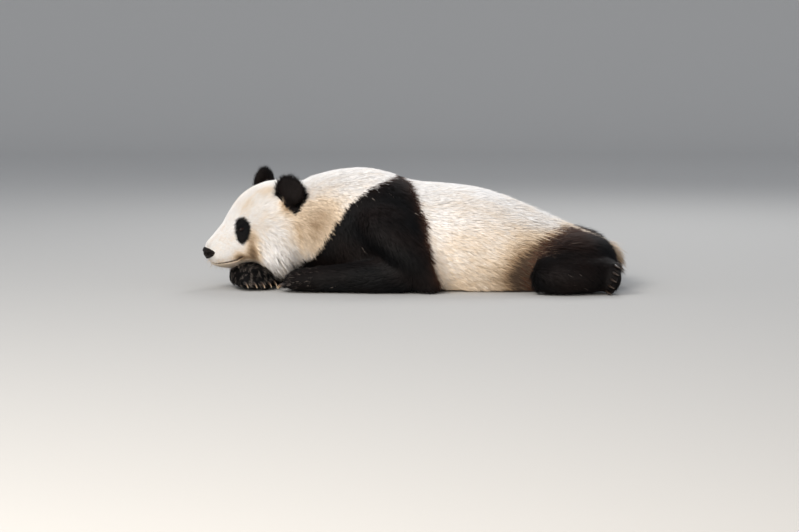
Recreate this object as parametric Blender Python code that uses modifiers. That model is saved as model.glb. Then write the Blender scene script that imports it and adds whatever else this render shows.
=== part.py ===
"""A life-size giant panda lying on its belly, chin on its right forepaw.

The solids give the outline of the coat's tips. The panda faces -X with its left side towards -Y,
and +Z is up. The body and the lower legs are each built from lofts and ellipsoids that are fused
into one skin, and then parted into named pieces by thin cuts. Everything rests on small flats at
z = 0. Units are metres.
"""

import math

import bmesh
import bpy
import numpy as np
from mathutils import Matrix, Vector
from mathutils.bvhtree import BVHTree

# Driving dimensions of the animal, coat included
NOSE_TO_RUMP = 1.50
GAP = 0.0004  # clearance between neighbouring solids

# How the head is held: its nose tip, then turned to the panda's left, nose down and left ear down
NOSE_TIP = Vector((-0.747, -0.098, 0.138))
HEAD_TURN = math.radians(22)
HEAD_TIP = math.radians(12)
HEAD_ROLL = math.radians(4)

EYE_RADIUS = 0.0115
EYE_DEPTH = 0.0135  # of the eyeball's middle under the coat
SOCKET_RADII = (0.017, 0.014, 0.009)
NOSE_RADII = (0.024, 0.029, 0.019)  # depth, half width and half height of the nose leather
EAR_RADII = (0.068, 0.056, 0.026)  # along the root, out to the rim, half thickness
EAR_HOLLOW_RADII = (0.040, 0.036, 0.022)
TAIL_RADII = (0.028, 0.050, 0.062)
CLAW_LENGTH = 0.034
CLAW_RADIUS = 0.0055

# In half widths of a toe: from toe to toe, how far the outer toes lie back, a toe's radii, and
# where its claw starts, ahead of and above its middle
TOE_PITCH = 1.42
TOE_ARC = 0.22
TOE_SHAPE = (1.7, 0.92, 1.05)
CLAW_ROOT = (1.15, 0.15)

# Sides by the direction they lie in along Y
SIDES = {"left": -1, "right": 1}
ELBOWS = {-1: (0.035, -0.252, 0.085), 1: (-0.170, 0.238, 0.085)}

# Where the body is parted
HEAD_LENGTH = 0.325  # from the nose tip to the cut between head and neck
NECK_END = -0.24  # the cut between neck and trunk, along X
UPPER_ARM_BOX = ((-0.062, 0.365, 0.118), (0.360, 0.400, 0.320))  # middle and size, on the right
THIGH_BOX = ((0.545, 0.365, 0.120), (0.350, 0.400, 0.320))
PAW_CUTS = {  # a point on the cut above the paw, and the direction of the paw from there
    ("fore", "left"): ((-0.310, -0.234, 0.05), (-0.97, 0.24, 0)),
    ("fore", "right"): ((-0.545, 0.012, 0.05), (-0.62, -0.78, 0)),
    ("hind", "left"): ((0.664, -0.268, 0.06), (0.60, -0.80, 0)),
    ("hind", "right"): ((0.664, 0.268, 0.06), (0.60, 0.80, 0)),
}
LOWER_LEG_NAMES = {"fore": "forearm", "hind": "shank"}
PAW_NAMES = {"fore": "forepaw", "hind": "hindfoot"}

# How fine the solids are
BODY_TRIANGLES = 2000
LEG_TRIANGLES = 420
FACE_DEPTH = 0.26  # behind the nose tip, where the finer triangles of the face end
FACE_FINENESS = 0.9  # weight of the face's triangles against 1 elsewhere when the body is thinned

FUR_WHITE = (0.86, 0.79, 0.68)
FUR_BLACK = (0.028, 0.024, 0.023)
FINISHES = {
    "white_coat": (FUR_WHITE, 0.9),
    "black_coat": (FUR_BLACK, 0.8),
    "nose_leather": ((0.02, 0.017, 0.016), 0.35),
    "eye": ((0.03, 0.014, 0.008), 0.05),
    "claw": ((0.30, 0.24, 0.17), 0.4),
}


# ---------------------------------------------------------------- frames

def head_frame():
    """The matrix from the head's own axes to the world: x forward from the nose tip, y to its left, z up."""
    forward = Vector(
        (
            -math.cos(HEAD_TURN) * math.cos(HEAD_TIP),
            -math.sin(HEAD_TURN) * math.cos(HEAD_TIP),
            -math.sin(HEAD_TIP),
        )
    )
    left = Vector((0, 0, 1)).cross(forward).normalized()
    left = Matrix.Rotation(-HEAD_ROLL, 3, forward) @ left
    up = forward.cross(left)
    turn = Matrix((forward, left, up)).transposed().to_4x4()
    return Matrix.Translation(NOSE_TIP) @ turn


HEAD = head_frame()


def on_head(behind, left, up):
    """A point given by its distance behind the nose tip, to the head's left and above the nose tip."""
    return HEAD @ Vector((-behind, left, up))


# ---------------------------------------------------------------- shapes

def new_object(name, mesh):
    obj = bpy.data.objects.new(name, mesh)
    bpy.context.scene.collection.objects.link(obj)
    return obj


def from_bmesh(name, bm):
    mesh = bpy.data.meshes.new(name)
    bm.to_mesh(mesh)
    bm.free()
    return new_object(name, mesh)


def blob(name, middle, radii, turn=None, rings=16):
    """An ellipsoid. turn is the matrix whose axes it lies along, the world's if left out."""
    bm = bmesh.new()
    bmesh.ops.create_uvsphere(bm, u_segments=2 * rings, v_segments=rings, radius=1)
    place = Matrix.Translation(middle) @ (turn or Matrix()).to_3x3().to_4x4() @ Matrix.Diagonal((*radii, 1))
    bm.transform(place)
    return from_bmesh(name, bm)


def smooth_rows(rows, count):
    """Rows of numbers carried along a smooth curve through them, count rows in all."""
    rows = np.array(rows, float)
    padded = np.vstack([2 * rows[0] - rows[1], rows, 2 * rows[-1] - rows[-2]])
    at = np.linspace(0, len(rows) - 1 - 1e-9, count)
    i = at.astype(int)
    t = (at - i)[:, None]
    a, b, c, d = (padded[i + k] for k in range(4))
    return 0.5 * (2 * b + (c - a) * t + (2 * a - 5 * b + 4 * c - d) * t**2 + (3 * b - a - 3 * c + d) * t**3)


def lofted(name, rings):
    """A closed skin through rings of points, (rings, points, 3), with a fan at each end."""
    count, around = rings.shape[:2]
    points = np.vstack([rings.reshape(-1, 3), rings[0].mean(0), rings[-1].mean(0)])
    faces = []
    for i in range(count - 1):
        for j in range(around):
            k = (j + 1) % around
            faces.append((i * around + j, i * around + k, (i + 1) * around + k, (i + 1) * around + j))
    first, last = count * around, count * around + 1
    for j in range(around):
        k = (j + 1) % around
        faces.append((first, k, j))
        faces.append((last, (count - 1) * around + j, (count - 1) * around + k))
    mesh = bpy.data.meshes.new(name)
    mesh.from_pydata(points.tolist(), [], faces)
    bm = bmesh.new()
    bm.from_mesh(mesh)
    bmesh.ops.recalc_face_normals(bm, faces=bm.faces)
    bm.to_mesh(mesh)
    bm.free()
    return new_object(name, mesh)


def egg_section(half_width, top, bottom, widest, squareness, around=32):
    """Points (sideways, up) of a section that is widest at one height, unlike above and below it."""
    turn = np.linspace(0, 2 * math.pi, around, endpoint=False)
    power = 2 / squareness
    side = half_width * np.sign(np.cos(turn)) * np.abs(np.cos(turn)) ** power
    rise = np.sign(np.sin(turn)) * np.abs(np.sin(turn)) ** power
    up = widest + np.where(rise > 0, (top - widest) * rise, (widest - bottom) * rise)
    return side, up


def body_loft(name, stations, rows=40):
    """A loft along X. A station is (x, top, bottom, half width, height of the widest, squareness, y)."""
    rings = []
    for x, top, bottom, half_width, widest, squareness, y in smooth_rows(stations, rows):
        side, up = egg_section(half_width, top, bottom, widest, squareness)
        rings.append(np.stack([np.full_like(side, x), side + y, up], 1))
    return lofted(name, np.array(rings))


def head_loft(name, stations, rows=36):
    """A loft along the head's own axis. A station is as for body_loft, behind the nose and without y."""
    rings = []
    matrix = np.array(HEAD)
    for behind, top, bottom, half_width, widest, squareness in smooth_rows(stations, rows):
        side, up = egg_section(half_width, top, bottom, widest, squareness)
        local = np.stack([np.full_like(side, -behind), side, up], 1)
        rings.append(local @ matrix[:3, :3].T + matrix[:3, 3])
    return lofted(name, np.array(rings))


def limb(name, stations, rows=28, around=20):
    """A limb along a smooth path. Each station is (x, y, z, half width sideways, half height)."""
    stations = smooth_rows(stations, rows)
    path, size = stations[:, :3], stations[:, 3:]
    along = np.gradient(path, axis=0)
    along /= np.linalg.norm(along, axis=1)[:, None]
    side = np.cross(along, (0, 0, 1))
    side /= np.linalg.norm(side, axis=1)[:, None]
    up = np.cross(side, along)
    turn = np.linspace(0, 2 * math.pi, around, endpoint=False)[:, None]
    cos, sin = np.cos(turn), np.sin(turn)
    rings = [p + a * w * cos + b * h * sin for p, a, b, (w, h) in zip(path, side, up, size)]
    return lofted(name, np.array(rings))


# ---------------------------------------------------------------- joining and parting

def evaluated(obj):
    """A plain mesh object of what obj's modifiers make, in place of obj."""
    bpy.context.view_layer.update()
    graph = bpy.context.evaluated_depsgraph_get()
    mesh = bpy.data.meshes.new_from_object(obj.evaluated_get(graph))
    name = obj.name
    bpy.data.objects.remove(obj)
    return new_object(name, mesh)


def joined(name, pieces):
    """The pieces as one object of loose shells."""
    bm = bmesh.new()
    for piece in pieces:
        bm.from_mesh(piece.data)
        bpy.data.objects.remove(piece)
    return from_bmesh(name, bm)


def fused(name, pieces, voxel, smoothing):
    """One closed skin round all the pieces, its creases softened in that many rounds."""
    obj = joined(name, pieces)
    remesh = obj.modifiers.new("one_skin", "REMESH")
    remesh.mode = "VOXEL"
    remesh.voxel_size = voxel
    soften = obj.modifiers.new("soften", "SMOOTH")
    soften.factor = 0.5
    soften.iterations = smoothing
    return evaluated(obj)


def thinned(obj, triangles, fine_part=None):
    """obj with about that many triangles. fine_part tells which points keep smaller ones."""
    shrink = obj.modifiers.new("thin", "DECIMATE")
    shrink.ratio = triangles / (2 * len(obj.data.polygons))
    shrink.use_collapse_triangulate = True
    if fine_part:
        group = obj.vertex_groups.new(name="plain")
        group.add([v.index for v in obj.data.vertices if not fine_part(v.co)], 1.0, "REPLACE")
        group.add([v.index for v in obj.data.vertices if fine_part(v.co)], FACE_FINENESS, "REPLACE")
        shrink.vertex_group = group.name
        shrink.vertex_group_factor = 0.08  # a small part of the choice, next to the form
    return evaluated(obj)


def on_floor(obj):
    """obj with everything under z = 0 taken off and closed, so that it stands on small flats."""
    bm = bmesh.new()
    bm.from_mesh(obj.data)
    parts = bm.verts[:] + bm.edges[:] + bm.faces[:]
    cut = bmesh.ops.bisect_plane(
        bm, geom=parts, dist=1e-6, plane_co=(0, 0, 0), plane_no=(0, 0, -1), clear_outer=True
    )
    rim = [e for e in cut["geom_cut"] if isinstance(e, bmesh.types.BMEdge)]
    bmesh.ops.holes_fill(bm, edges=rim, sides=0)
    bmesh.ops.triangulate(bm, faces=bm.faces[:])
    bm.to_mesh(obj.data)
    bm.free()
    return obj


def boolean(obj, other, operation):
    """obj joined with, cut by or kept inside the other one, in place of obj."""
    cut = obj.modifiers.new("cut", "BOOLEAN")
    cut.operation = operation
    cut.object = other
    return evaluated(obj)


def grown(obj, amount):
    """A copy of obj with every point moved out along its normal."""
    made = new_object("grown", obj.data.copy())
    mesh = made.data
    count = len(mesh.vertices)
    place = np.empty(count * 3, np.float32)
    normal = np.empty(count * 3, np.float32)
    mesh.vertices.foreach_get("co", place)
    mesh.vertices.foreach_get("normal", normal)
    mesh.vertices.foreach_set("co", place + amount * normal)
    mesh.update()
    return made


def cut_clear(obj, others):
    """obj with room made in it for each of the others and the gap round them."""
    for other in others:
        cutter = grown(other, GAP)
        obj = boolean(obj, cutter, "DIFFERENCE")
        bpy.data.objects.remove(cutter)
    return obj


def on_side(box, side):
    """The middle and size of a box given for the right side."""
    (x, y, z), size = box
    return (x, side * y, z), size


def block(middle, size, turn=None):
    """A box, for parting the body."""
    bm = bmesh.new()
    bmesh.ops.create_cube(bm, size=1)
    bm.transform(Matrix.Translation(middle) @ (turn or Matrix()) @ Matrix.Diagonal((*size, 1)))
    return from_bmesh("block", bm)


def parted(whole, name, middle, size, turn=None):
    """Takes the piece of whole that lies in a box. Returns it and what is left, the gap between them."""
    box = block(middle, size, turn)
    piece = boolean(new_object(name, whole.data.copy()), box, "INTERSECT")
    bpy.data.objects.remove(box)
    box = block(middle, [s + 2 * GAP for s in size], turn)
    rest = boolean(whole, box, "DIFFERENCE")
    bpy.data.objects.remove(box)
    return piece, rest


def finish_piece(obj, finish):
    """Gives a piece its material, and smooth shading over its round parts."""
    obj.data.name = obj.name
    colour, roughness = FINISHES[finish]
    material = bpy.data.materials.get(finish) or bpy.data.materials.new(finish)
    material.use_nodes = True
    shader = material.node_tree.nodes["Principled BSDF"]
    shader.inputs["Base Color"].default_value = (*colour, 1)
    shader.inputs["Roughness"].default_value = roughness
    obj.data.materials.clear()
    obj.data.materials.append(material)
    obj.data.shade_smooth()
    obj.data.set_sharp_from_angle(angle=math.radians(50))


# ---------------------------------------------------------------- the body's shapes

def trunk_shape():
    """Neck, chest, belly and rump as one loft, from inside the head to the tail."""
    # x, top, bottom, half width, height of the widest place, squareness, y
    stations = [
        (-0.46, 0.362, 0.100, 0.146, 0.22, 2.1, 0.012),
        (-0.38, 0.396, 0.050, 0.184, 0.20, 2.1, 0.008),
        (-0.28, 0.424, 0.000, 0.210, 0.18, 2.1, 0.004),
        (-0.18, 0.432, -0.030, 0.230, 0.16, 2.15, 0.0),
        (-0.09, 0.416, -0.050, 0.244, 0.15, 2.2, 0.0),
        (0.00, 0.387, -0.060, 0.256, 0.14, 2.2, 0.0),
        (0.12, 0.376, -0.060, 0.274, 0.13, 2.25, 0.0),
        (0.24, 0.359, -0.060, 0.288, 0.12, 2.25, 0.0),
        (0.36, 0.316, -0.060, 0.288, 0.11, 2.2, 0.0),
        (0.48, 0.260, -0.060, 0.268, 0.10, 2.2, 0.0),
        (0.58, 0.216, -0.050, 0.238, 0.10, 2.2, 0.0),
        (0.66, 0.184, -0.040, 0.196, 0.095, 2.2, 0.0),
        (0.715, 0.152, 0.000, 0.138, 0.09, 2.1, 0.0),
        (0.737, 0.110, 0.050, 0.045, 0.085, 2.0, 0.0),
    ]
    return body_loft("trunk_loft", stations, rows=60)


def upper_arm_shape(side):
    """Shoulder blade and upper arm of one side, down to the elbow on the floor."""
    shoulder = Vector((-0.085, side * 0.120, 0.285))
    elbow = Vector(ELBOWS[side])
    stations = [(-0.060, side * 0.050, 0.335, 0.100, 0.060)]
    sizes = [(0, 0.150, 0.075), (0.35, 0.160, 0.084), (0.7, 0.136, 0.082), (1, 0.100, 0.074)]
    for along, width, depth in sizes:
        place = shoulder.lerp(elbow, along)
        place.y += side * 0.022 * math.sin(math.pi * along)
        stations.append((*place, width, depth))
    stations.append((elbow.x + 0.012, elbow.y, 0.010, 0.082, 0.066))
    return limb("upper_arm", stations)


def thigh_shape(side):
    """Hip and thigh of one side, from the pelvis out to the knee."""
    stations = [
        (0.635, side * 0.040, 0.095, 0.085, 0.085),
        (0.618, side * 0.120, 0.100, 0.108, 0.100),
        (0.570, side * 0.200, 0.096, 0.132, 0.108),
        (0.508, side * 0.255, 0.086, 0.126, 0.098),
        (0.466, side * 0.285, 0.072, 0.080, 0.072),
    ]
    return limb("thigh", stations)


def head_shapes():
    """Skull, muzzle and the full cheeks, in the head's own axes."""
    # behind the nose, top, bottom, half width, height of the widest place, squareness
    skull = [
        (0.085, 0.064, -0.050, 0.044, -0.020, 1.9),
        (0.104, 0.096, -0.072, 0.070, -0.034, 1.75),
        (0.130, 0.124, -0.088, 0.098, -0.040, 1.7),
        (0.165, 0.152, -0.104, 0.130, -0.036, 1.8),
        (0.205, 0.172, -0.116, 0.155, -0.024, 2.0),
        (0.250, 0.184, -0.120, 0.166, -0.014, 2.1),
        (0.300, 0.188, -0.110, 0.168, 0.000, 2.15),
        (0.350, 0.183, -0.092, 0.162, 0.016, 2.1),
        (0.395, 0.165, -0.065, 0.142, 0.030, 2.0),
        (0.430, 0.120, -0.020, 0.095, 0.045, 2.0),
    ]
    muzzle = [
        (0.003, 0.010, -0.030, 0.022, -0.010, 2.0),
        (0.012, 0.020, -0.050, 0.037, -0.016, 2.2),
        (0.030, 0.031, -0.068, 0.052, -0.024, 2.3),
        (0.055, 0.048, -0.080, 0.064, -0.030, 2.3),
        (0.085, 0.070, -0.088, 0.074, -0.030, 2.2),
        (0.125, 0.092, -0.096, 0.088, -0.026, 2.1),
        (0.180, 0.105, -0.100, 0.098, -0.020, 2.0),
    ]
    shapes = [head_loft("skull", skull), head_loft("muzzle", muzzle, rows=24)]
    for side in (-1, 1):
        shapes.append(blob("cheek", on_head(0.235, side * 0.080, -0.042), (0.084, 0.086, 0.090), HEAD))
    return shapes


def ear_axes(side):
    """The ear's own axes as columns: along its root, out to its rim, and out of its hollow front."""
    front = Vector((0.56, side * 0.79, 0.22)).normalized()
    root = Vector((-0.45, 0, -0.85))
    root = (root - root.dot(front) * front).normalized()
    rim = side * front.cross(root)
    return HEAD.to_3x3() @ Matrix((root, rim, front)).transposed()


def ear_shape(name, side):
    """A round, thick ear with a hollow front."""
    axes = ear_axes(side)
    rim, front = axes.col[1], axes.col[2]
    middle = on_head(0.316, side * 0.134, 0.150)
    hollow = blob("hollow", middle + 0.010 * rim + 0.032 * front, EAR_HOLLOW_RADII, axes, rings=5)
    shell = boolean(blob(name, middle, EAR_RADII, axes, rings=8), hollow, "DIFFERENCE")
    bpy.data.objects.remove(hollow)
    return shell


# ---------------------------------------------------------------- the legs and their paws

def claw(name, start, ahead, down):
    """A claw that bends down along an arc, thick at its root and pointed at its tip."""
    turn = np.linspace(0, 2 * math.pi, 5, endpoint=False)
    side = ahead.cross(down).normalized()
    rings = []
    for along in (0.0, 0.5, 0.95):
        lift = down * math.cos(along) - ahead * math.sin(along)
        middle = start + CLAW_LENGTH * (ahead * math.sin(along) + down * (1 - math.cos(along)))
        radius = CLAW_RADIUS * (1 - along) ** 0.6
        rings.append([middle + radius * (0.7 * side * math.cos(a) + lift * math.sin(a)) for a in turn])
    return lofted(name, np.array(rings))


def lower_leg(kind, side, stations, toe_row, ahead, across, toe):
    """A lower leg with its paw, and its five claws.

    The leg runs through stations, as for limb. The toes lie along across, the middle one at
    toe_row, and point ahead. toe is the half width of one.
    """
    ahead, across = Vector(ahead).normalized(), Vector(across)
    across = (across - across.dot(ahead) * ahead).normalized()
    down = across.cross(ahead)
    if down.z > 0:
        down = -down
    axes = Matrix((ahead, across, ahead.cross(across))).transposed()
    shapes = [limb("leg", stations, rows=40)]
    claws = []
    for i in range(5):
        off = i - 2
        place = Vector(toe_row) + toe * (TOE_PITCH * off * across - TOE_ARC * off * off * ahead)
        shapes.append(blob("toe", place, [toe * shape for shape in TOE_SHAPE], axes, rings=8))
        root = place + toe * (CLAW_ROOT[0] * ahead - CLAW_ROOT[1] * down)
        claws.append(claw(f"claw_{kind}_{side}_{i + 1}", root, ahead, down))
    leg = fused(f"{kind}leg_{side}", shapes, 0.006, 4)
    return on_floor(thinned(leg, LEG_TRIANGLES)), claws


def lower_legs():
    """The four lower legs as (kind, side, leg, claws)."""
    foreleg_left = [
        (0.000, -0.262, 0.066, 0.050, 0.054),
        (-0.040, -0.262, 0.062, 0.068, 0.066),
        (-0.150, -0.256, 0.055, 0.068, 0.064),
        (-0.280, -0.240, 0.048, 0.060, 0.053),
        (-0.340, -0.229, 0.044, 0.066, 0.047),
        (-0.400, -0.213, 0.038, 0.066, 0.040),
        (-0.434, -0.203, 0.032, 0.052, 0.032),
    ]
    foreleg_right = [
        (-0.190, 0.240, 0.066, 0.048, 0.052),
        (-0.220, 0.222, 0.062, 0.068, 0.064),
        (-0.330, 0.160, 0.055, 0.066, 0.060),
        (-0.470, 0.075, 0.050, 0.060, 0.053),
        (-0.562, 0.000, 0.047, 0.070, 0.050),
        (-0.582, -0.070, 0.046, 0.076, 0.050),
        (-0.566, -0.130, 0.042, 0.074, 0.046),
        (-0.544, -0.166, 0.036, 0.056, 0.036),
    ]
    hindleg_left = [
        (0.450, -0.275, 0.060, 0.050, 0.050),
        (0.468, -0.302, 0.064, 0.074, 0.066),
        (0.540, -0.322, 0.066, 0.076, 0.068),
        (0.610, -0.304, 0.068, 0.068, 0.068),
        (0.656, -0.270, 0.070, 0.054, 0.066),
        (0.678, -0.292, 0.064, 0.042, 0.060),
        (0.686, -0.335, 0.056, 0.036, 0.053),
    ]
    hindleg_right = [(x, -y, *rest) for x, y, *rest in hindleg_left]
    # middle toe, which way the toes point, which way they lie side by side, half width of a toe
    row_fore_left = ((-0.429, -0.203, 0.026), (-0.96, 0.26, -0.05), (0.26, 0.96, 0), 0.0185)
    row_fore_right = ((-0.545, -0.170, 0.026), (0.50, -0.87, -0.05), (-0.87, -0.50, 0), 0.02)
    row_hind_left = ((0.688, -0.345, 0.058), (0.05, -0.98, -0.10), (0.30, 0, 0.95), 0.017)
    row_hind_right = ((0.688, 0.345, 0.058), (0.05, 0.98, -0.10), (0.30, 0, 0.95), 0.017)
    legs = {
        ("fore", "left"): (foreleg_left, *row_fore_left),
        ("fore", "right"): (foreleg_right, *row_fore_right),
        ("hind", "left"): (hindleg_left, *row_hind_left),
        ("hind", "right"): (hindleg_right, *row_hind_right),
    }
    return [(kind, side, *lower_leg(kind, side, *shape)) for (kind, side), shape in legs.items()]


# ---------------------------------------------------------------- the whole animal

def body_in_one():
    """Head, neck, trunk, upper arms and thighs as one skin, cut flat where it lies on the floor."""
    shapes = [trunk_shape()]
    for side in SIDES.values():
        shapes += [upper_arm_shape(side), thigh_shape(side)]
    torso = fused("torso", shapes, voxel=0.010, smoothing=34)
    head = fused("head", head_shapes(), voxel=0.006, smoothing=14)
    body = fused("body", [torso, head], voxel=0.007, smoothing=14)
    return on_floor(thinned(body, BODY_TRIANGLES, fine_part=on_face))


def on_face(point):
    """Whether a point is on the muzzle, brow or cheeks, where the form is fine."""
    return (HEAD.inverted() @ point).x > -FACE_DEPTH


def on_skin(body, inside, outward):
    """Where a line from a point inside the body leaves its skin, and the skin's own direction there."""
    tree = BVHTree.FromPolygons([v.co for v in body.data.vertices], [p.vertices for p in body.data.polygons])
    place, normal, *rest = tree.ray_cast(inside + outward, -outward)
    return place, normal


def eye_in_socket(body, name, side):
    """The body with a small socket carved in it, and the eyeball that sits in the socket."""
    outward = (HEAD.to_3x3() @ Vector((0.55, side * 0.80, 0.10))).normalized()
    place, normal = on_skin(body, on_head(0.150, side * 0.036, 0.052), outward)
    socket = blob("socket", place, SOCKET_RADII, normal.to_track_quat("Z", "Y").to_matrix(), rings=6)
    body = boolean(body, socket, "DIFFERENCE")
    bpy.data.objects.remove(socket)
    eye = blob(name, place - EYE_DEPTH * normal, (EYE_RADIUS,) * 3, rings=6)
    return cut_clear(body, [eye]), eye


def tail_shape():
    """A short broad tail that hangs flat against the rump."""
    tilt = Matrix.Rotation(math.radians(-28), 3, "Y")
    return blob("tail", (0.716, 0, 0.118), TAIL_RADII, tilt, rings=7)


def nose_shape():
    """The bare leather of the nose, most of it sunk in the muzzle's tip."""
    return blob("nose", on_head(0.016, 0, -0.010), NOSE_RADII, HEAD, rings=7)


def paw_parted(kind, side, leg):
    """The leg above the paw, and the paw, apart by a thin cut across the wrist or heel."""
    point, away = PAW_CUTS[kind, side]
    away = Vector(away).normalized()
    turn = away.to_track_quat("X", "Z").to_matrix().to_4x4()
    paw, rest = parted(leg, f"{PAW_NAMES[kind]}_{side}", Vector(point) + 0.2 * away, (0.4, 0.5, 0.5), turn)
    rest.name = f"{LOWER_LEG_NAMES[kind]}_{side}"
    return rest, paw


def settled(pieces):
    """Brings the animal to its length from nose to rump, the middle of its footprint over the origin."""
    points = np.vstack([[v.co for v in piece.data.vertices] for piece in pieces])
    low, high = points.min(0), points.max(0)
    middle = (low + high) / 2
    scale = Matrix.Diagonal((*[NOSE_TO_RUMP / (high[0] - low[0])] * 3, 1))
    place = scale @ Matrix.Translation((-middle[0], -middle[1], -low[2]))
    for piece in pieces:
        piece.data.transform(place)


def main():
    for obj in list(bpy.data.objects):
        bpy.data.objects.remove(obj)

    body = body_in_one()
    white, black, leather, eyes, claws = [], [], [], [], []

    legs = []
    for kind, side, leg, leg_claws in lower_legs():
        claws += [cut_clear(piece, [leg]) for piece in leg_claws]
        legs.append((kind, side, leg))
    body = cut_clear(body, [leg for kind, side, leg in legs])
    for kind, side, leg in legs:
        black += paw_parted(kind, side, leg)

    for name, side in SIDES.items():
        black.append(cut_clear(ear_shape(f"ear_{name}", -side), [body]))
        body, eye = eye_in_socket(body, f"eye_{name}", -side)
        eyes.append(eye)
    nose, tail = nose_shape(), tail_shape()
    body = cut_clear(body, [nose, tail])
    leather.append(nose)
    white.append(tail)

    for name, side in SIDES.items():
        arm, body = parted(body, f"upper_foreleg_{name}", *on_side(UPPER_ARM_BOX, side))
        thigh, body = parted(body, f"thigh_{name}", *on_side(THIGH_BOX, side))
        black += [arm, thigh]
    turn = HEAD.to_3x3().to_4x4()
    head, body = parted(body, "head", on_head(HEAD_LENGTH - 0.5, 0, 0), (1.0, 1.0, 1.2), turn)
    neck, trunk = parted(body, "neck", (NECK_END - 0.5, 0, 0), (1.0, 2.0, 2.0))
    trunk.name = "trunk"
    white += [head, neck, trunk]

    settled(white + black + leather + eyes + claws)
    collection = bpy.data.collections.new("giant_panda")
    bpy.context.scene.collection.children.link(collection)
    stand = bpy.data.objects.new("giant_panda", None)
    collection.objects.link(stand)
    finishes = {
        "white_coat": white, "black_coat": black, "nose_leather": leather, "eye": eyes, "claw": claws,
    }
    for finish, pieces in finishes.items():
        for piece in pieces:
            finish_piece(piece, finish)
            piece.parent = stand
            bpy.context.scene.collection.objects.unlink(piece)
            collection.objects.link(piece)


if __name__ == "__main__":
    main()
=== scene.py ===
# A giant panda at rest on its belly: one skin, a coat of small solid tufts, and the bare parts of its face
# and feet.
# The panda faces -X, its left side is towards -Y, and +Z is up. All lengths are metres.

import math
from functools import partial

import bmesh
import bpy
import numpy as np
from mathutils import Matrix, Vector
from mathutils.bvhtree import BVHTree
from mathutils.kdtree import KDTree


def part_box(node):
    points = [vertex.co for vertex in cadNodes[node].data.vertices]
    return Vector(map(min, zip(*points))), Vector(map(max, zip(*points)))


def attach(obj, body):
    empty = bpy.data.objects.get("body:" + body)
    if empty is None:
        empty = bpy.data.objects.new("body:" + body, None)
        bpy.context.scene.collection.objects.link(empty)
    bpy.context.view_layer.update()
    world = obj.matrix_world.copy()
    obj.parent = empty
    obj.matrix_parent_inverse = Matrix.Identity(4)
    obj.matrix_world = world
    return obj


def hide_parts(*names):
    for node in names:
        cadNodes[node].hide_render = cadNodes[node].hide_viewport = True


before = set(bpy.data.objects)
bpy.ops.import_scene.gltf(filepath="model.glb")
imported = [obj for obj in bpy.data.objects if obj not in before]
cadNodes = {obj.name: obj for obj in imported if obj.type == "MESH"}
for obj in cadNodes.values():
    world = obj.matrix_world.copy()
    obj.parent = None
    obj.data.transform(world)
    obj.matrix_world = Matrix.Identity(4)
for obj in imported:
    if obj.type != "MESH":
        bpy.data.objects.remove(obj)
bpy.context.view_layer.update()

# The solids were modelled in plain numbers and then brought to size. Places below are in those plain numbers.
sizing = {"scale": 0.99474, "noseMiddle": (0.016, 0, -0.010)}  # the middle from the tip, in the head
headPose = {"noseTip": (-0.747, -0.098, 0.138), "turn": 22, "tip": 12, "roll": 4}
sides = {"left": 1, "right": -1}  # along the head's left, so the left side is towards -Y on the body
# how high the lowest points are kept above the floor
floorGap = {"skin": 0.0015, "tufts": 0.0012, "bare": 0.0010}


# ---- small helpers

def unit(vectors):  # the same ways, each of length 1
    return vectors / np.maximum(np.linalg.norm(vectors, axis=-1, keepdims=True), 1e-12)


def ease(low, high, value):  # 0 below low, 1 above high, smooth between
    share = np.clip((value - low) / (high - low), 0, 1)
    return share * share * (3 - 2 * share)


# 1 at the middle of an ellipsoid, falling smoothly to 0 at about twice its radii
def bump(points, middle, radii):
    away = (points - np.array(middle)) / np.array(radii)
    return np.exp(-(away * away).sum(-1))


def ripple(points, size, seed):  # a smooth random field between about -1 and 1, with waves of that size
    rng = np.random.default_rng(seed)
    waves = unit(rng.normal(size=(9, 3))) * (2 * math.pi / size) * rng.uniform(0.6, 1.5, (9, 1))
    return np.sin(points @ waves.T + rng.uniform(0, 2 * math.pi, 9)).sum(-1) / 4.5


def headAxes():  # rows: behind the nose, to the head's left, up
    turn, tip, roll = (math.radians(headPose[key]) for key in ("turn", "tip", "roll"))
    forward = np.array([-math.cos(turn) * math.cos(tip), -math.sin(turn) * math.cos(tip), -math.sin(tip)])
    left = unit(np.cross((0, 0, 1), forward))
    up = np.cross(forward, left)
    left = left * math.cos(roll) - up * math.sin(roll)
    return np.stack([-forward, left, np.cross(forward, left)])


axes = headAxes()
noseLow, noseHigh = (np.array(corner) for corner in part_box("nose"))
plainNose = np.array(headPose["noseTip"]) + np.array(sizing["noseMiddle"]) @ axes
shift = (noseLow + noseHigh) / 2 - sizing["scale"] * plainNose


def placed(points):  # plain numbers to the frame
    return np.asarray(points, float) * sizing["scale"] + shift


def plain(points):  # the frame to plain numbers
    return (np.asarray(points, float) - shift) / sizing["scale"]


def aboveFloor(points, kind):  # points below that kind's gap over the floor rise to it
    return np.maximum(points, (-np.inf, -np.inf, floorGap[kind]))


def inHead(points):  # the frame to (behind, left, up) of the head
    return (plain(points) - headPose["noseTip"]) @ axes.T


def inHalfHead(points):  # the same, with the head's right laid over its left
    behind, left, up = inHead(points).T
    return np.stack([behind, np.abs(left), up], 1)


def onHead(rows):  # (behind, left, up) of the head to the frame
    return placed(np.asarray(rows, float) @ axes + headPose["noseTip"])


def sceneObject(name, data):  # a new object in the scene, at the origin
    made = bpy.data.objects.new(name, data)
    bpy.context.scene.collection.objects.link(made)
    return made


def meshFrom(bm, mesh):  # the mesh is filled from bm, and bm is freed
    bm.to_mesh(mesh)
    bm.free()
    return mesh


def meshObject(name, points, faces):
    mesh = bpy.data.meshes.new(name)
    mesh.from_pydata(points.tolist(), [], faces)
    mesh.shade_smooth()
    return sceneObject(name, mesh)


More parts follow.
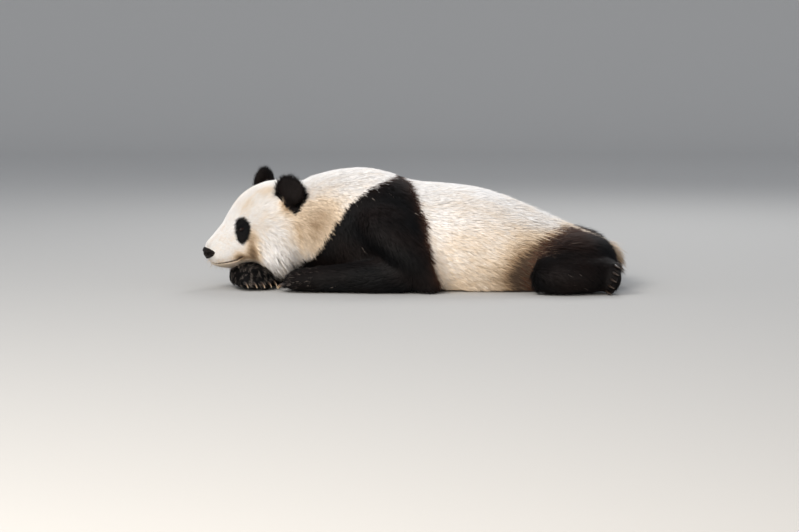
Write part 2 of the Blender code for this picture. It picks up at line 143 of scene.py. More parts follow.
def gridFaces(rows, columns, start=0):  # quads of a grid that closes round its columns
    row, column = np.meshgrid(np.arange(rows - 1), np.arange(columns), indexing="ij")
    following = (column + 1) % columns
    corners = [row * columns + column, row * columns + following, (row + 1) * columns + following]
    corners.append((row + 1) * columns + column)
    return (np.stack(corners, -1).reshape(-1, 4) + start).tolist()


# a closed surface through rings of points, (rings, points, 3), with a point at each end
def tubeSurface(name, rings):
    rows, columns = rings.shape[:2]
    points = np.concatenate([rings.reshape(-1, 3), rings[:1].mean(1), rings[-1:].mean(1)])
    faces = gridFaces(rows, columns)
    first, last, lastRow = rows * columns, rows * columns + 1, (rows - 1) * columns
    faces += [(first, (k + 1) % columns, k) for k in range(columns)]
    faces += [(last, lastRow + k, lastRow + (k + 1) % columns) for k in range(columns)]
    made = meshObject(name, points, faces)
    bm = bmesh.new()
    bm.from_mesh(made.data)
    bmesh.ops.recalc_face_normals(bm, faces=bm.faces)
    meshFrom(bm, made.data).shade_smooth()
    return made


# unit directions over a ball, pole to pole along the first axis, without the poles
def ballRings(rows, columns):
    fromPole = (np.arange(rows) + 0.5) / rows * math.pi
    turn = np.arange(columns) / columns * 2 * math.pi
    fromPole, turn = np.meshgrid(fromPole, turn, indexing="ij")
    return np.stack([np.cos(fromPole), np.sin(fromPole) * np.cos(turn), np.sin(fromPole) * np.sin(turn)], -1)


def evaluated(obj):  # what obj's modifiers make, as a plain mesh in place of obj
    bpy.context.view_layer.update()
    mesh = bpy.data.meshes.new_from_object(obj.evaluated_get(bpy.context.evaluated_depsgraph_get()))
    old = obj.data
    obj.modifiers.clear()
    obj.data = mesh
    bpy.data.meshes.remove(old)
    return obj


def rowsOf(items, key, columns, kind=np.float32):  # one property of all of a mesh's items, a row for each
    values = np.empty(len(items) * columns, kind)
    items.foreach_get(key, values)
    return values.reshape(-1, columns)


def pointsOf(mesh):
    return rowsOf(mesh.vertices, "co", 3).astype(float)


def normalsOf(mesh):
    return rowsOf(mesh.vertex_normals, "vector", 3).astype(float)


def edgesOf(mesh):
    return rowsOf(mesh.edges, "vertices", 2, np.int32)


def setPoints(mesh, points):
    mesh.vertices.foreach_set("co", np.ascontiguousarray(points, np.float32).ravel())
    mesh.update()


def setAttribute(mesh, key, values):  # a number for each point, which the materials read
    mesh.attributes.new(key, "FLOAT", "POINT").data.foreach_set("value", values.astype(np.float32))


def alongLine(line, count):  # that many points at even steps from the line's first row to its last
    steps = np.linspace(0, len(line) - 1, count)
    return np.stack([np.interp(steps, np.arange(len(line)), column) for column in np.array(line).T], 1)


def hill(value, middle, width):  # 1 at the middle and less to both sides, like a bell
    return np.exp(-((value - middle) / width) ** 2)


def relaxed(values, edges, rounds, share=0.5):  # each value moves towards the mean of its neighbours
    count = len(values)
    neighbours = np.bincount(edges.ravel(), minlength=count)[:, None]
    values = values.reshape(count, -1).copy()
    one, two = edges.T
    for _ in range(rounds):
        total = np.stack([np.bincount(one, column[two], count) + np.bincount(two, column[one], count)
                          for column in values.T], 1)
        values += share * (total / np.maximum(neighbours, 1) - values)
    return values


# ---- the skin: every flesh node in one closed surface, sunk under the solids by the coat's depth

skinPlan = {
    "voxel": 0.0068, "earVoxel": 0.0035, "sinkSteps": 4, "smoothing": 5, "fillRounds": 45,
    "underneath": 0.003,  # the coat's depth where the body lies on the floor
    "fineBehind": 0.185, "fineBeside": 0.13, "fineBelow": -0.10,  # where the face's finer faces end
    "fineRoundEye": 0.024, "fineRoundMouth": 0.009,
}
limbParts = {"foreleg": ("upper_foreleg", "forearm", "forepaw"), "hindleg": ("thigh", "shank", "hindfoot"),
             "ears": ("ear",)}
fleshGroups = {"body": ["head", "neck", "trunk"], "tail": ["tail"]}
fleshGroups["body"] += [f"{part}_{sideName}" for part in ("upper_foreleg", "thigh") for sideName in sides]
for sideName in sides:
    for limb, parts in limbParts.items():
        fleshGroups[f"{limb}_{sideName}"] = [f"{part}_{sideName}" for part in parts]
fleshNodes = sorted({node for nodes in fleshGroups.values() for node in nodes})
partNames = np.array([node.removesuffix("_left").removesuffix("_right") for node in fleshNodes])
# swollen that much, these fill the head's sockets
socketPlugs = {"nose": 1.02, "eye_left": 1.30, "eye_right": 1.30}

# Depth of the coat over the skin, length and width of its tufts, and how many times they cover the skin
coatKeys = ("depth", "length", "width", "cover")
coatPlan = {
    "head": (0.020, 0.034, 0.0034, 2.6), "neck": (0.018, 0.038, 0.0040, 2.6),
    "trunk": (0.018, 0.038, 0.0040, 2.6),
    "tail": (0.012, 0.042, 0.0040, 3.4), "ear": (0.006, 0.022, 0.0026, 3.4),
    "upper_foreleg": (0.017, 0.042, 0.0046, 2.6), "forearm": (0.014, 0.034, 0.0040, 2.6),
    "forepaw": (0.008, 0.017, 0.0027, 3.0), "thigh": (0.017, 0.042, 0.0046, 2.6),
    "shank": (0.015, 0.036, 0.0040, 2.9), "hindfoot": (0.011, 0.027, 0.0032, 3.2),
    # and on parts of the head
    "muzzle": (0.0025, 0.0075, 0.0015, 1.7), "brow": (0.009, 0.016, 0.0022, 2.2),
    "crown": (0.015, 0.030, 0.0034, 2.6), "ruff": (0.021, 0.050, 0.0044, 2.6),
}


# from where to where on the head each of them takes over: behind the nose tip (0), and up (2)
faceZones = {
    "brow": {0: (0.075, 0.150)},
    "crown": {0: (0.15, 0.30)},
    "ruff": {0: (0.135, 0.20), 2: (0.06, -0.03)},
}


# how the coat's numbers change over the head, from the short muzzle to the full ruff
def faceField(local, key):
    value = coatPlan["muzzle"][coatKeys.index(key)]
    for place, zone in faceZones.items():
        share = np.prod([ease(*ends, local[:, column]) for column, ends in zone.items()], axis=0)
        value = value + (coatPlan[place][coatKeys.index(key)] - value) * share
    return value


def mergedCopy(name, nodes):  # the solids of those nodes as one mesh, their doubled points joined
    bm = bmesh.new()
    for node in nodes:
        before = len(bm.verts)
        bm.from_mesh(cadNodes[node].data)
        bm.verts.ensure_lookup_table()
        if node in socketPlugs:
            middle = (Vector(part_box(node)[0]) + Vector(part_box(node)[1])) / 2
            for vert in bm.verts[before:]:
                vert.co = middle + (vert.co - middle) * socketPlugs[node]
    bmesh.ops.remove_doubles(bm, verts=bm.verts, dist=0.00001)
    return sceneObject(name, meshFrom(bm, bpy.data.meshes.new(name)))


def remeshed(obj, voxel):  # one closed surface round all of obj, in cells of that size
    remesh = obj.modifiers.new("oneSkin", "REMESH")
    remesh.mode = "VOXEL"
    remesh.voxel_size = voxel
    return evaluated(obj)


def surfaceTree(obj):  # a search tree over obj's faces, and obj is removed
    points = pointsOf(obj.data).tolist()
    faces = [tuple(polygon.vertices) for polygon in obj.data.polygons]
    bpy.data.objects.remove(obj)
    return BVHTree.FromPolygons(points, faces)


nodeTrees = [surfaceTree(mergedCopy(f"copy_{node}", [node])) for node in fleshNodes]
outline = surfaceTree(remeshed(mergedCopy("outline", fleshNodes + list(socketPlugs)), skinPlan["voxel"]))


def roomOver(points):  # how far under the solids' outer surface each point is, and the way further in
    found = [outline.find_nearest(point) for point in points.tolist()]
    nearest, facing, distance = (np.array([hit[k] for hit in found]) for k in (0, 1, 3))
    under = np.where(((nearest - points) * facing).sum(1) > 0, distance, -distance)
    return under, np.where((under > 0.004)[:, None], unit(points - nearest), -facing)


def nearestNode(points):  # the flesh node that each point belongs to
    low = np.array([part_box(node)[0] for node in fleshNodes]) - 0.05
    high = np.array([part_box(node)[1] for node in fleshNodes]) + 0.05
    near = np.full((len(fleshNodes), len(points)), np.inf)
    for number, tree in enumerate(nodeTrees):
        inBox = np.flatnonzero(((points > low[number]) & (points < high[number])).all(1))
        near[number, inBox] = [tree.find_nearest(point)[3] for point in points[inBox].tolist()]
    return near.argmin(0)


def nodeField(nodeNumbers, key, points):  # a number of coatPlan at each point, smooth over the face
    values = np.array([coatPlan[part][coatKeys.index(key)] for part in partNames])[nodeNumbers]
    local = inHead(points)
    blend = ease(0.36, 0.27, local[:, 0]) * (partNames[nodeNumbers] == "head")
    return values + (faceField(local, key) - values) * blend


# every point goes in along its normal by the coat's depth, in small steps with a light smoothing
def sunk(obj):
    mesh = obj.data
    points, edges = pointsOf(mesh), edgesOf(mesh)
    nodeNumbers = nearestNode(points)
    normals = normalsOf(mesh)
    depth = nodeField(nodeNumbers, "depth", points)
    underneath = ease(-0.35, -0.80, normals[:, 2]) * ease(0.05, 0.01, points[:, 2])
    depth = depth + (skinPlan["underneath"] - depth) * underneath
    depth = relaxed(depth, edges, 12)
    for _ in range(skinPlan["sinkSteps"]):
        points = points - normalsOf(mesh) * depth / skinPlan["sinkSteps"]
        points = relaxed(points, edges, 1, 0.35)
        setPoints(mesh, points)
    for _ in range(2):  # nothing of it may lie closer to the outside than the coat's depth
        under, inward = roomOver(points)
        missing = np.clip(depth[:, 0] - under, 0, None)
        points = relaxed(points + inward * missing[:, None], edges, 2, 0.5)
    setPoints(mesh, points)
    return obj


earRootPlan = {
    "middle": (0.316, 0.112, 0.118), "radii": (0.046, 0.026, 0.022),  # in the head, on its left
    "lean": ((0.88, 0.0, 0.47), (0.0, 1.0, 0.0), (-0.47, 0.0, 0.88)),  # rows: along the root, out, across
}


def earRoot(sideName):  # the gristle that joins an ear to the skull, a ball flattened to the ear's own plane
    mirror = (1, sides[sideName], 1)
    spread = ballRings(10, 16) * earRootPlan["radii"]
    local = spread @ np.array(earRootPlan["lean"]) * mirror + np.array(earRootPlan["middle"]) * mirror
    return tubeSurface(f"ear_root_{sideName}", onHead(local))


def bodyShells():  # one sunk shell for each group of nodes, and the roots of the ears
    shells = []
    for groupName, nodes in fleshGroups.items():
        voxel = skinPlan["earVoxel" if groupName.startswith("ears") else "voxel"]
        plugs = list(socketPlugs) if groupName == "body" else []
        shells.append(sunk(remeshed(mergedCopy(groupName, nodes + plugs), voxel)))
    return shells + [earRoot(sideName) for sideName in sides]


bm = bmesh.new()
for shell in bodyShells():
    bm.from_mesh(shell.data)
    bpy.data.objects.remove(shell)
skin = remeshed(sceneObject("skin", meshFrom(bm, bpy.data.meshes.new("skin"))), skinPlan["voxel"])


# creases between the body and limbs rise to a soft hollow; nothing else moves
def filledCreases(mesh, rounds):
    points, edges = pointsOf(mesh), edgesOf(mesh)
    local = inHead(points)
    free = 1 - 0.9 * ease(0.30, 0.24, local[:, 0]) * ease(-0.30, -0.35, points[:, 0])
    for _ in range(rounds):
        setPoints(mesh, points)
        normals = normalsOf(mesh)
        rise = ((relaxed(points, edges, 1) - points) * normals).sum(1)
        points = points + normals * (np.clip(rise, 0, None) * free)[:, None]
    setPoints(mesh, relaxed(points, edges, skinPlan["smoothing"]))


filledCreases(skin.data, skinPlan["fillRounds"])


# ---- the face: the lids and the line of the mouth are folds of the skin, which is cut finer there

eyePlan = {
    "outward": (-0.55, 0.80, 0.10),  # behind the nose, towards that side, up
    # half the slit between the lids, radians round the eyeball
    "openWidth": 0.95, "openUpper": 0.30, "openLower": 0.22,
    "slant": 0.25, "lidThickness": 0.0017, "lidFold": 0.0009, "foldAway": 0.33, "foldWidth": 0.07,
    "tuck": 0.004,  # how far behind the eyeball's surface the skin goes in the slit
    "lidEdge": (0.03, -0.13),  # the angle to the slit where a lid ends, and where the skin is right behind
    # how softly a lid runs out into the skin, and how far from the eye's middle
    "blend": 0.0014, "reach": 0.030,
    # how far it stands out, as a share of the radius, and how far round it reaches
    "cornea": 0.07, "corneaTurn": 0.50,
}
mouthPlan = {
    # behind the nose tip, to one side and up: from the middle of the lip back to the corner of the mouth
    "line": ((0.016, 0.0, -0.050), (0.021, 0.022, -0.054), (0.043, 0.046, -0.056), (0.069, 0.060, -0.055),
             (0.094, 0.070, -0.054), (0.112, 0.080, -0.046)),
    "halfWidth": 0.0038, "depth": 0.0055, "lipRise": 0.0014, "riseAway": 0.0065, "riseWidth": 0.003,
}


# the middle and radius of that side's eyeball, and its outward, upward and forward axes
def eyeFrame(sideName):
    low, high = (np.array(corner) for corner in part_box(f"eye_{sideName}"))
    outward = unit((np.array(eyePlan["outward"]) * (1, sides[sideName], 1)) @ axes)
    upward = unit(axes[2] - outward * (axes[2] @ outward))
    forward = np.cross(upward, outward) * sides[sideName]
    if forward @ axes[0] > 0:
        forward = -forward
    return {
        "middle": (low + high) / 2, "radius": (high - low).mean() / 2,
        "outward": outward, "upward": upward, "forward": forward,
    }


eyes = {sideName: eyeFrame(sideName) for sideName in sides}


# the angle round the eyeball from each point to the slit between the lids, below 0 in it
def besideSlit(points, eye):
    away = unit(points - eye["middle"])
    ahead = np.arctan2(away @ eye["forward"], away @ eye["outward"])
    rise = np.arcsin(np.clip(away @ eye["upward"], -1, 1)) + eyePlan["slant"] * ahead
    half = np.where(rise > 0, eyePlan["openUpper"], eyePlan["openLower"])
    half = half * np.clip(1 - (ahead / eyePlan["openWidth"]) ** 2, 0, 1)
    beyond = np.clip(np.abs(ahead) - eyePlan["openWidth"], 0, None)
    return np.where(beyond > 0, np.hypot(beyond, rise), np.abs(rise) - half)


# the skin is lifted over each eyeball to the lids' thickness, and goes in behind it in the slit
def withLids(points):
    lidEnd, behindEye = eyePlan["lidEdge"]
    for eye in eyes.values():
        gone = points - eye["middle"]
        distance = np.maximum(np.linalg.norm(gone, axis=1), 1e-6)
        facing = (gone @ eye["outward"]) / distance
        slit = besideSlit(points, eye)
        fold = eyePlan["lidFold"] * hill(slit, eyePlan["foldAway"], eyePlan["foldWidth"])
        lid = eye["radius"] + eyePlan["lidThickness"] - fold
        lid = lid - (eyePlan["tuck"] + eyePlan["lidThickness"]) * ease(lidEnd, behindEye, slit)
        over = (distance + lid + np.sqrt((distance - lid) ** 2 + eyePlan["blend"] ** 2)) / 2
        target = np.where(slit > lidEnd, over, lid)
        share = ease(0.05, 0.30, facing) * (distance < eyePlan["reach"])
        points = points + gone / distance[:, None] * (share * (target - distance))[:, None]
    return points


# how far back, and from where to where it grows
muzzleTip = {"pressed": 0.0125, "from": 0.030, "foremost": -0.006}


def flatterTip(points):  # the tip of the muzzle is pressed back into a blunter one, most where it is foremost
    local = inHead(points)
    pressed = muzzleTip["pressed"] * ease(muzzleTip["from"], muzzleTip["foremost"], local[:, 0])
    return onHead(local + pressed[:, None] * (1, 0, 0))


def mouthAway(points, normals):  # the distance along the skin from each point to the line of the mouth
    half = alongLine(mouthPlan["line"], 150)
    path = onHead(np.concatenate([half, half * (1, -1, 1)]))
    local = inHead(points)
    near = np.flatnonzero((local[:, 0] < 0.14) & (local[:, 2] < -0.02) & (local[:, 2] > -0.09))
    gap = points[near, None] - path[None]
    along = (gap * normals[near, None]).sum(-1)
    beside = np.sqrt(np.clip((gap ** 2).sum(-1) - along ** 2, 0, None))
    beside = beside + 10 * np.clip(np.abs(along) - 0.016, 0, None)
    away = np.full(len(points), 1.0)
    away[near] = beside.min(1)
    return away


def finerSkin(chosen):  # the faces whose middles chosen() picks are cut in four
    bm = bmesh.new()
    bm.from_mesh(skin.data)
    bm.faces.ensure_lookup_table()
    places = np.array([face.calc_center_median() for face in bm.faces])
    normals = np.array([face.normal for face in bm.faces])
    edges = {edge for number in np.flatnonzero(chosen(places, normals)) for edge in bm.faces[number].edges}
    bmesh.ops.subdivide_edges(bm, edges=list(edges), cuts=1, use_grid_fill=True)
    meshFrom(bm, skin.data)


def onFace(places, _):
    behind, beside, up = inHalfHead(places).T
    near = (behind < skinPlan["fineBehind"]) & (beside < skinPlan["fineBeside"])
    return near & (up > skinPlan["fineBelow"])


def roundEyes(places, _):
    away = np.min([np.linalg.norm(places - eye["middle"], axis=1) for eye in eyes.values()], axis=0)
    return away < skinPlan["fineRoundEye"]


def roundMouth(places, normals):
    return mouthAway(places, normals) < skinPlan["fineRoundMouth"]


finerSkin(onFace)
fine = ease(skinPlan["fineBehind"], skinPlan["fineBehind"] - 0.02, inHead(pointsOf(skin.data))[:, 0])[:, None]
smoother = relaxed(pointsOf(skin.data), edgesOf(skin.data), 3)
setPoints(skin.data, pointsOf(skin.data) + fine * (smoother - pointsOf(skin.data)))
finerSkin(roundEyes)
finerSkin(roundEyes)
finerSkin(roundMouth)
skinPoints, skinNormals = pointsOf(skin.data), normalsOf(skin.data)
lipAway = mouthAway(skinPoints, skinNormals)
sunkLip = mouthPlan["depth"] * hill(lipAway, 0, mouthPlan["halfWidth"])
raisedLip = mouthPlan["lipRise"] * hill(lipAway, mouthPlan["riseAway"], mouthPlan["riseWidth"])
skinPoints = flatterTip(withLids(skinPoints + skinNormals * (raisedLip - sunkLip)[:, None]))
skinPoints = aboveFloor(skinPoints, "skin")
setPoints(skin.data, skinPoints)
skin.data.shade_smooth()
print("skin:", len(skin.data.polygons), "faces")


# The leather of the nose: its foremost point, and its rim from under the nostrils round one side to the top
nosePlan = {
    "pole": (-0.0085, 0.0, -0.011), "behind": 0.048,  # and nothing of it lies further back than that
    "rim": (
        (-0.0030, 0.0, -0.0350), (-0.0020, 0.0075, -0.0332), (0.0062, 0.0245, -0.0284),
        (0.0172, 0.0394, -0.0222), (0.0246, 0.0468, -0.0116), (0.0157, 0.0422, -0.0018),
        (0.0057, 0.0246, 0.0046), (0.0015, 0.0, 0.0060),
    ),
    # to the side and up, from the hole out to its slit
    "nostril": ((0.013, -0.014), (0.027, -0.012), (0.042, -0.007)),
    "nostrilDepth": 0.011, "nostrilWidth": 0.0052, "nostrilEnd": 0.42, "nostrilRim": 0.0016,
    "split": 0.0022, "splitWidth": 0.0013, "splitUp": (-0.014, -0.022),  # the groove down from the nostrils
    "rows": 44, "columns": 144,
    "turnedIn": ((0.985, 0.003), (0.93, 0.008)),  # two rings inside the rim: how much narrower, how far back
}


def noseRim(count):  # the whole rim as that many points, smoothed, starting under the nostrils
    half = np.array(nosePlan["rim"])
    whole = np.concatenate([half, half[-2:0:-1] * (1, -1, 1)])
    steps = np.arange(count) / count * len(whole)
    closed = np.concatenate([whole, whole[:1]])
    rim = np.stack([np.interp(steps, np.arange(len(closed)), column) for column in closed.T], 1)
    for _ in range(count // 24):
        rim = (rim + (np.roll(rim, 1, 0) + np.roll(rim, -1, 0)) / 2) / 2
    return rim


# seen along the head, the turn round the nose's foremost point and the distance from it
def roundPole(local):
    _, left, up = (local - nosePlan["pole"]).T
    return np.arctan2(up, left), np.hypot(up, left)


def insideNose(local):  # 1 at the rim of the nose leather and less towards its middle, seen along the head
    rimTurn, rimAway = roundPole(noseRim(96))
    order = np.argsort(rimTurn)
    turn, away = roundPole(local)
    share = away / np.interp(turn, rimTurn[order], rimAway[order], period=2 * math.pi)
    return np.where(local[:, 0] < nosePlan["behind"], share, 9.0)


# ---- markings: how black the coat is, how brown its white (dirt and painted shade) and its black (rust and painted sheen), as plain formulas

markingPlan = {
    # height above the floor, and how far back the black band over the shoulders starts and ends there
    "bandFront": (
        (0.00, -0.475), (0.06, -0.455), (0.10, -0.412), (0.117, -0.396), (0.138, -0.348), (0.188, -0.314),
        (0.243, -0.274), (0.291, -0.241), (0.325, -0.207), (0.362, -0.148), (0.388, -0.085), (0.43, -0.062),
    ),
    "bandRear": (
        (0.00, 0.115), (0.059, 0.078), (0.091, 0.068), (0.134, 0.057), (0.185, 0.042), (0.235, 0.037),
        (0.298, 0.021), (0.338, 0.000), (0.366, -0.022), (0.384, -0.052), (0.43, -0.046),
    ),
    # the same for the front of the black on the haunches
    "haunchFront": (
        (0.00, 0.395), (0.087, 0.405), (0.142, 0.415), (0.182, 0.448), (0.205, 0.505), (0.24, 0.60),
    ),
    "rightElbowAhead": 0.15,  # the right elbow lies that much further forward, and the band with it
    # how far back, and half the width of the white between the haunches there
    "whiteRump": ((0.40, 0.15), (0.47, 0.095), (0.53, 0.045), (0.60, 0.028), (0.66, 0.034), (0.70, 0.07)),
    "edgeWave": 0.0045, "patchWave": 0.0012,
    "allBlack": 0.09, "allWhite": -0.05,  # the distance to the edge where a whole part is of one colour
    # the head is white in front of that, and so is all that lies behind and between those
    "headWhite": 0.27, "tailWhite": (0.68, 0.050),
    # the black reaches onto the head round the ear's foot
    "earFoot": ((0.304, 0.148, 0.106), (0.030, 0.035, 0.031)),
}


def curveAt(rows, height):  # the place that a curve's rows give at each height, straight between two rows
    heights, places = np.array(rows).T
    return np.interp(height, heights, places)


def haunchAway(x, y, z):  # above 0 in the black of the haunches
    fromFront = x - curveAt(markingPlan["haunchFront"], z)
    return np.minimum(fromFront, np.abs(y) - curveAt(markingPlan["whiteRump"], x))


# above 0 where the coat is black; about the distance to the edge in metres
def markings(points, nodeNumbers):
    x, y, z = plain(points).T
    names, local = partNames[nodeNumbers], inHead(points)
    white = markingPlan["allWhite"]
    wave = markingPlan["edgeWave"] * (ripple(points, 0.05, 3) + 0.6 * ripple(points, 0.02, 4))
    drawn = markingPlan["rightElbowAhead"] * ease(0.02, 0.20, y) * ease(0.36, 0.10, z)
    front = curveAt(markingPlan["bandFront"], z)
    rear = curveAt(markingPlan["bandRear"], z) - drawn
    band = np.minimum(x - front, rear - x)
    black = np.maximum(band, haunchAway(x, y, z)) + wave
    onHeadNode = (names == "head") | (names == "neck")
    black = np.where(onHeadNode & (local[:, 0] < markingPlan["headWhite"]), white, black)
    limb = np.isin(names, ("forearm", "forepaw", "shank", "hindfoot", "ear"))
    black = np.where(limb, markingPlan["allBlack"], black)
    tailFrom, tailHalf = markingPlan["tailWhite"]
    black = np.where((names == "tail") | (x > tailFrom) & (np.abs(y) < tailHalf), white, black)
    earFoot = 0.03 * (bump(inHalfHead(points), *markingPlan["earFoot"]) - 0.40)
    patch = eyePatch(local) + markingPlan["patchWave"] * ripple(points, 0.016, 12)
    onHeadPart = np.where(onHeadNode, np.maximum(np.where(names == "head", patch, white), earFoot), white)
    return np.maximum(black, onHeadPart)


# The black round an eye: its middle behind the nose and above it, its half extents and how far its top leans
# back
eyePatchPlan = {"middle": (0.1320, 0.045), "radii": (0.0240, 0.0435), "lean": 0.27, "broader": 0.12}


def eyePatch(local):  # a leaning drop round each eye, broader towards its top, as a distance to its edge
    behind, up = (local[:, [0, 2]] - eyePatchPlan["middle"]).T
    broad, high = eyePatchPlan["radii"]
    leaned = (behind - eyePatchPlan["lean"] * up) / (broad * (1.0 + eyePatchPlan["broader"] * up / high))
    inside = (1 - np.hypot(leaned, up / high)) * broad
    return np.where(np.abs(local[:, 1]) > 0.03, inside, markingPlan["allWhite"])


soilAndShadePlan = {
    # size of the clouds, their seed and how dark they are
    "all": 0.11, "clouds": ((0.16, 6, 0.06), (0.03, 7, 0.05)),
    # the middle of each darker place, its half extents and how dark it is, on the left and the same on the
    # right; dirt, but painted shade where so marked
    "body": (
        ((0.22, -0.27, 0.20), (0.12, 0.10, 0.08), 0.10),  # flank
        ((0.375, -0.27, 0.06), (0.070, 0.12, 0.100), 1.05),  # belly
        ((0.42, -0.22, 0.17), (0.080, 0.10, 0.055), 0.20),
        # neck: tan-grey, with painted shade behind the cheek ruff
        ((-0.348, -0.180, 0.225), (0.085, 0.10, 0.110), 0.40),  # neck
        ((-0.30, -0.180, 0.27), (0.14, 0.10, 0.08), 0.16),
        ((0.725, -0.02, 0.060), (0.05, 0.08, 0.060), 0.45),  # tip of the tail
    ),
    # the same in the head: behind the nose tip, to one side, up
    "head": (
        # brown, and painted shade, in the groove behind the muzzle
        ((0.143, 0.108, -0.036), (0.021, 0.03, 0.056), 0.92),  # groove behind the muzzle
        ((0.104, 0.082, -0.044), (0.026, 0.02, 0.014), 0.85),  # corner of the mouth
        ((0.098, 0.078, -0.028), (0.022, 0.02, 0.014), 0.30),
        ((0.050, 0.040, -0.072), (0.040, 0.05, 0.012), 0.16),  # chin
        # painted grey shade before the ear and under it
        ((0.235, 0.075, 0.168), (0.034, 0.035, 0.020), 0.58),  # before the ear and under it
        ((0.276, 0.135, 0.106), (0.020, 0.03, 0.024), 0.60),
        ((0.165, 0.050, 0.128), (0.030, 0.02, 0.030), 0.22),  # brow
        ((0.152, 0.098, 0.030), (0.018, 0.03, 0.024), 0.35),  # beside the eye
        # painted shade in the groove behind the cheek
        ((0.300, 0.180, 0.000), (0.014, 0.03, 0.060), 0.38),  # behind the cheek
        ((0.215, 0.120, -0.105), (0.060, 0.04, 0.018), 0.30),  # tips of the ruff
        ((0.215, 0.130, -0.020), (0.055, 0.06, 0.080), -0.11),  # cheek, cleaner
    ),
    # how much darker and browner the coat gets from one value of each measure to the next
    "slopes": (
        # darker and browner towards the bottom of the flank
        (0.22, {"up": (0.24, 0.04), "back": (-0.05, 0.10)}),  # low on the flank
        # up to the haunch
        (0.50, {"haunch": (-0.070, 0.004), "back": (0.30, 0.40), "beside": (0.035, 0.075)}),
        (0.35, {"haunch": (0.000, 0.012), "back": (0.28, 0.36)}),  # white hairs in the haunch
        (0.20, {"aboveNose": (-0.03, -0.06), "behindNose": (0.13, 0.10)}),  # chin
        (0.30, {"back": (0.46, 0.56), "beside": (0.16, 0.10)}),  # rump
        # lighter towards the top of the back
        (-0.10, {"up": (0.28, 0.36)}),  # back
        (-0.08, {"behindNose": (0.14, 0.12), "aboveNose": (-0.045, -0.025)}),  # muzzle
    ),
}


# 0 for clean white, 1 for the darkest brown: dirt, and painted shade by the muzzle, cheek and ear, on the
# neck and low on the flank
def soil(points):  # 0 for clean white, 1 for the dirtiest brown
    x, y, z = plain(points).T
    places = {"body": np.stack([x, -np.abs(y), z], 1), "head": inHalfHead(points)}
    behindNose, _, aboveNose = places["head"].T
    measures = {
        "back": x, "beside": np.abs(y), "up": z, "haunch": haunchAway(x, y, z), "behindNose": behindNose,
        "aboveNose": aboveNose,
    }
    value = soilAndShadePlan["all"] + 0.06 * ease(0.30, 0.20, behindNose) * ripple(points, 0.010, 8)
    for size, seed, much in soilAndShadePlan["clouds"]:
        value = value + much * ripple(points, size, seed)
    for key in places:
        for middle, radii, much in soilAndShadePlan[key]:
            value = value + much * bump(places[key], middle, radii)
    for much, slopes in soilAndShadePlan["slopes"]:
        value = value + much * np.prod([ease(*ends, measures[key]) for key, ends in slopes.items()], axis=0)
    return np.clip(value, 0, 1)


rustAndSheenPlan = {"all": 0.015, "clouds": 0.03, "ear": 0.02, "hipRustAndSheen": 0.26, "edge": 0.80}


# 0 for pure black, 1 for sun-bleached brown; on the top of the thighs partly a painted reddish sheen
def rust(points, nodeNumbers):  # 0 for pure black, 1 for sun-bleached brown
    x, _, z = plain(points).T
    value = rustAndSheenPlan["all"] + rustAndSheenPlan["clouds"] * ripple(points, 0.12, 9)
    value = value + rustAndSheenPlan["ear"] * (partNames[nodeNumbers] == "ear")
    # reddish brown over the top of the thigh: partly real, partly a painted sheen where the light falls on it
    value = value + rustAndSheenPlan["hipRustAndSheen"] * ease(0.13, 0.21, z) * ease(0.38, 0.50, x) * ease(0.64, 0.56, x)
    edgeWidth = 0.010 + 0.013 * ease(0.30, 0.40, x)
    nearEdge = np.exp(-np.clip(markings(points, nodeNumbers), 0, None) / edgeWidth)
    return np.clip(value + rustAndSheenPlan["edge"] * nearEdge * ease(-0.20, -0.05, x), 0, 1)


# ---- the lie of the coat: a direction along the skin at each point, away from the nose and down to the paws

lieOfCoat = {  # on the head and ears it is worked out instead
    "neck": (1.0, 0.0, -0.40),
    "trunk": (1.0, 0.0, -0.42),
    "band": (0.30, 0.0, -0.95),
    "tail": (0.5, 0.0, -1.0),
    "upper_foreleg": {"left": (0.50, -0.25, -0.85), "right": (-0.15, 0.35, -0.85)},
    "forearm": {"left": (-0.97, 0.10, -0.22), "right": (-0.85, -0.50, -0.22)},
    "forepaw": {"left": (-0.97, 0.24, -0.30), "right": (0.45, -0.62, -0.52)},
    "thigh": (0.75, 0.0, -0.62),
    "shank": (0.88, 0.0, -0.45),
    "hindfoot": {"left": (0.62, -0.60, -0.40), "right": (0.62, 0.60, -0.40)},
}
earFootPlace = np.array((0.316, 0.079, 0.075))  # in the head, on its left; the ear's fur lies away from it


# back from the nose, up over the brow, down and back on the cheeks, straight down in the ruff
def headLie(local):
    behind, left, up = local.T
    side = np.sign(left) * ease(0.0, 0.05, np.abs(left))
    onRuff = ease(0.12, 0.20, behind) * ease(0.10, -0.02, up)
    onChin = ease(-0.05, -0.08, up) * ease(0.16, 0.12, behind)
    back = 1.0 - 0.55 * onRuff
    down = 0.25 * ease(0.07, 0.0, up) * (1 - onChin) + 0.95 * onRuff - 0.35 * ease(0.06, 0.12, up)
    return np.stack([back, 0.30 * side, -down], 1) @ axes


def blended(first, second, share):  # that share of the first way, and the rest of the second
    return share * np.array(first) + (1 - share) * np.array(second)


def coatLie(points, nodeNumbers):
    onBand = ease(-0.03, 0.03, skinBlack)[:, None]
    chosen = np.zeros((len(points), 3))
    local = inHead(points)
    for number, (node, part) in enumerate(zip(fleshNodes, partNames)):
        here = nodeNumbers == number
        side = node.rsplit("_", 1)[-1]
        if part == "head":
            share = ease(0.27, 0.34, local[here, 0])[:, None]
            chosen[here] = blended(lieOfCoat["neck"], headLie(local[here]), share)
        elif part == "ear":
            chosen[here] = (local[here] - earFootPlace * (1, sides[side], 1)) @ axes
        else:
            lie = lieOfCoat[part]
            lie = lie[side] if isinstance(lie, dict) else lie
            share = onBand[here] if part in ("upper_foreleg", "thigh") else 1
            chosen[here] = blended(lie, lieOfCoat["trunk"], share)
        if part in ("trunk", "neck"):
            share = onBand[here] * ease(0.33, 0.25, points[here, 0])[:, None]
            chosen[here] = blended(lieOfCoat["band"], chosen[here], share)
    return unit(chosen)


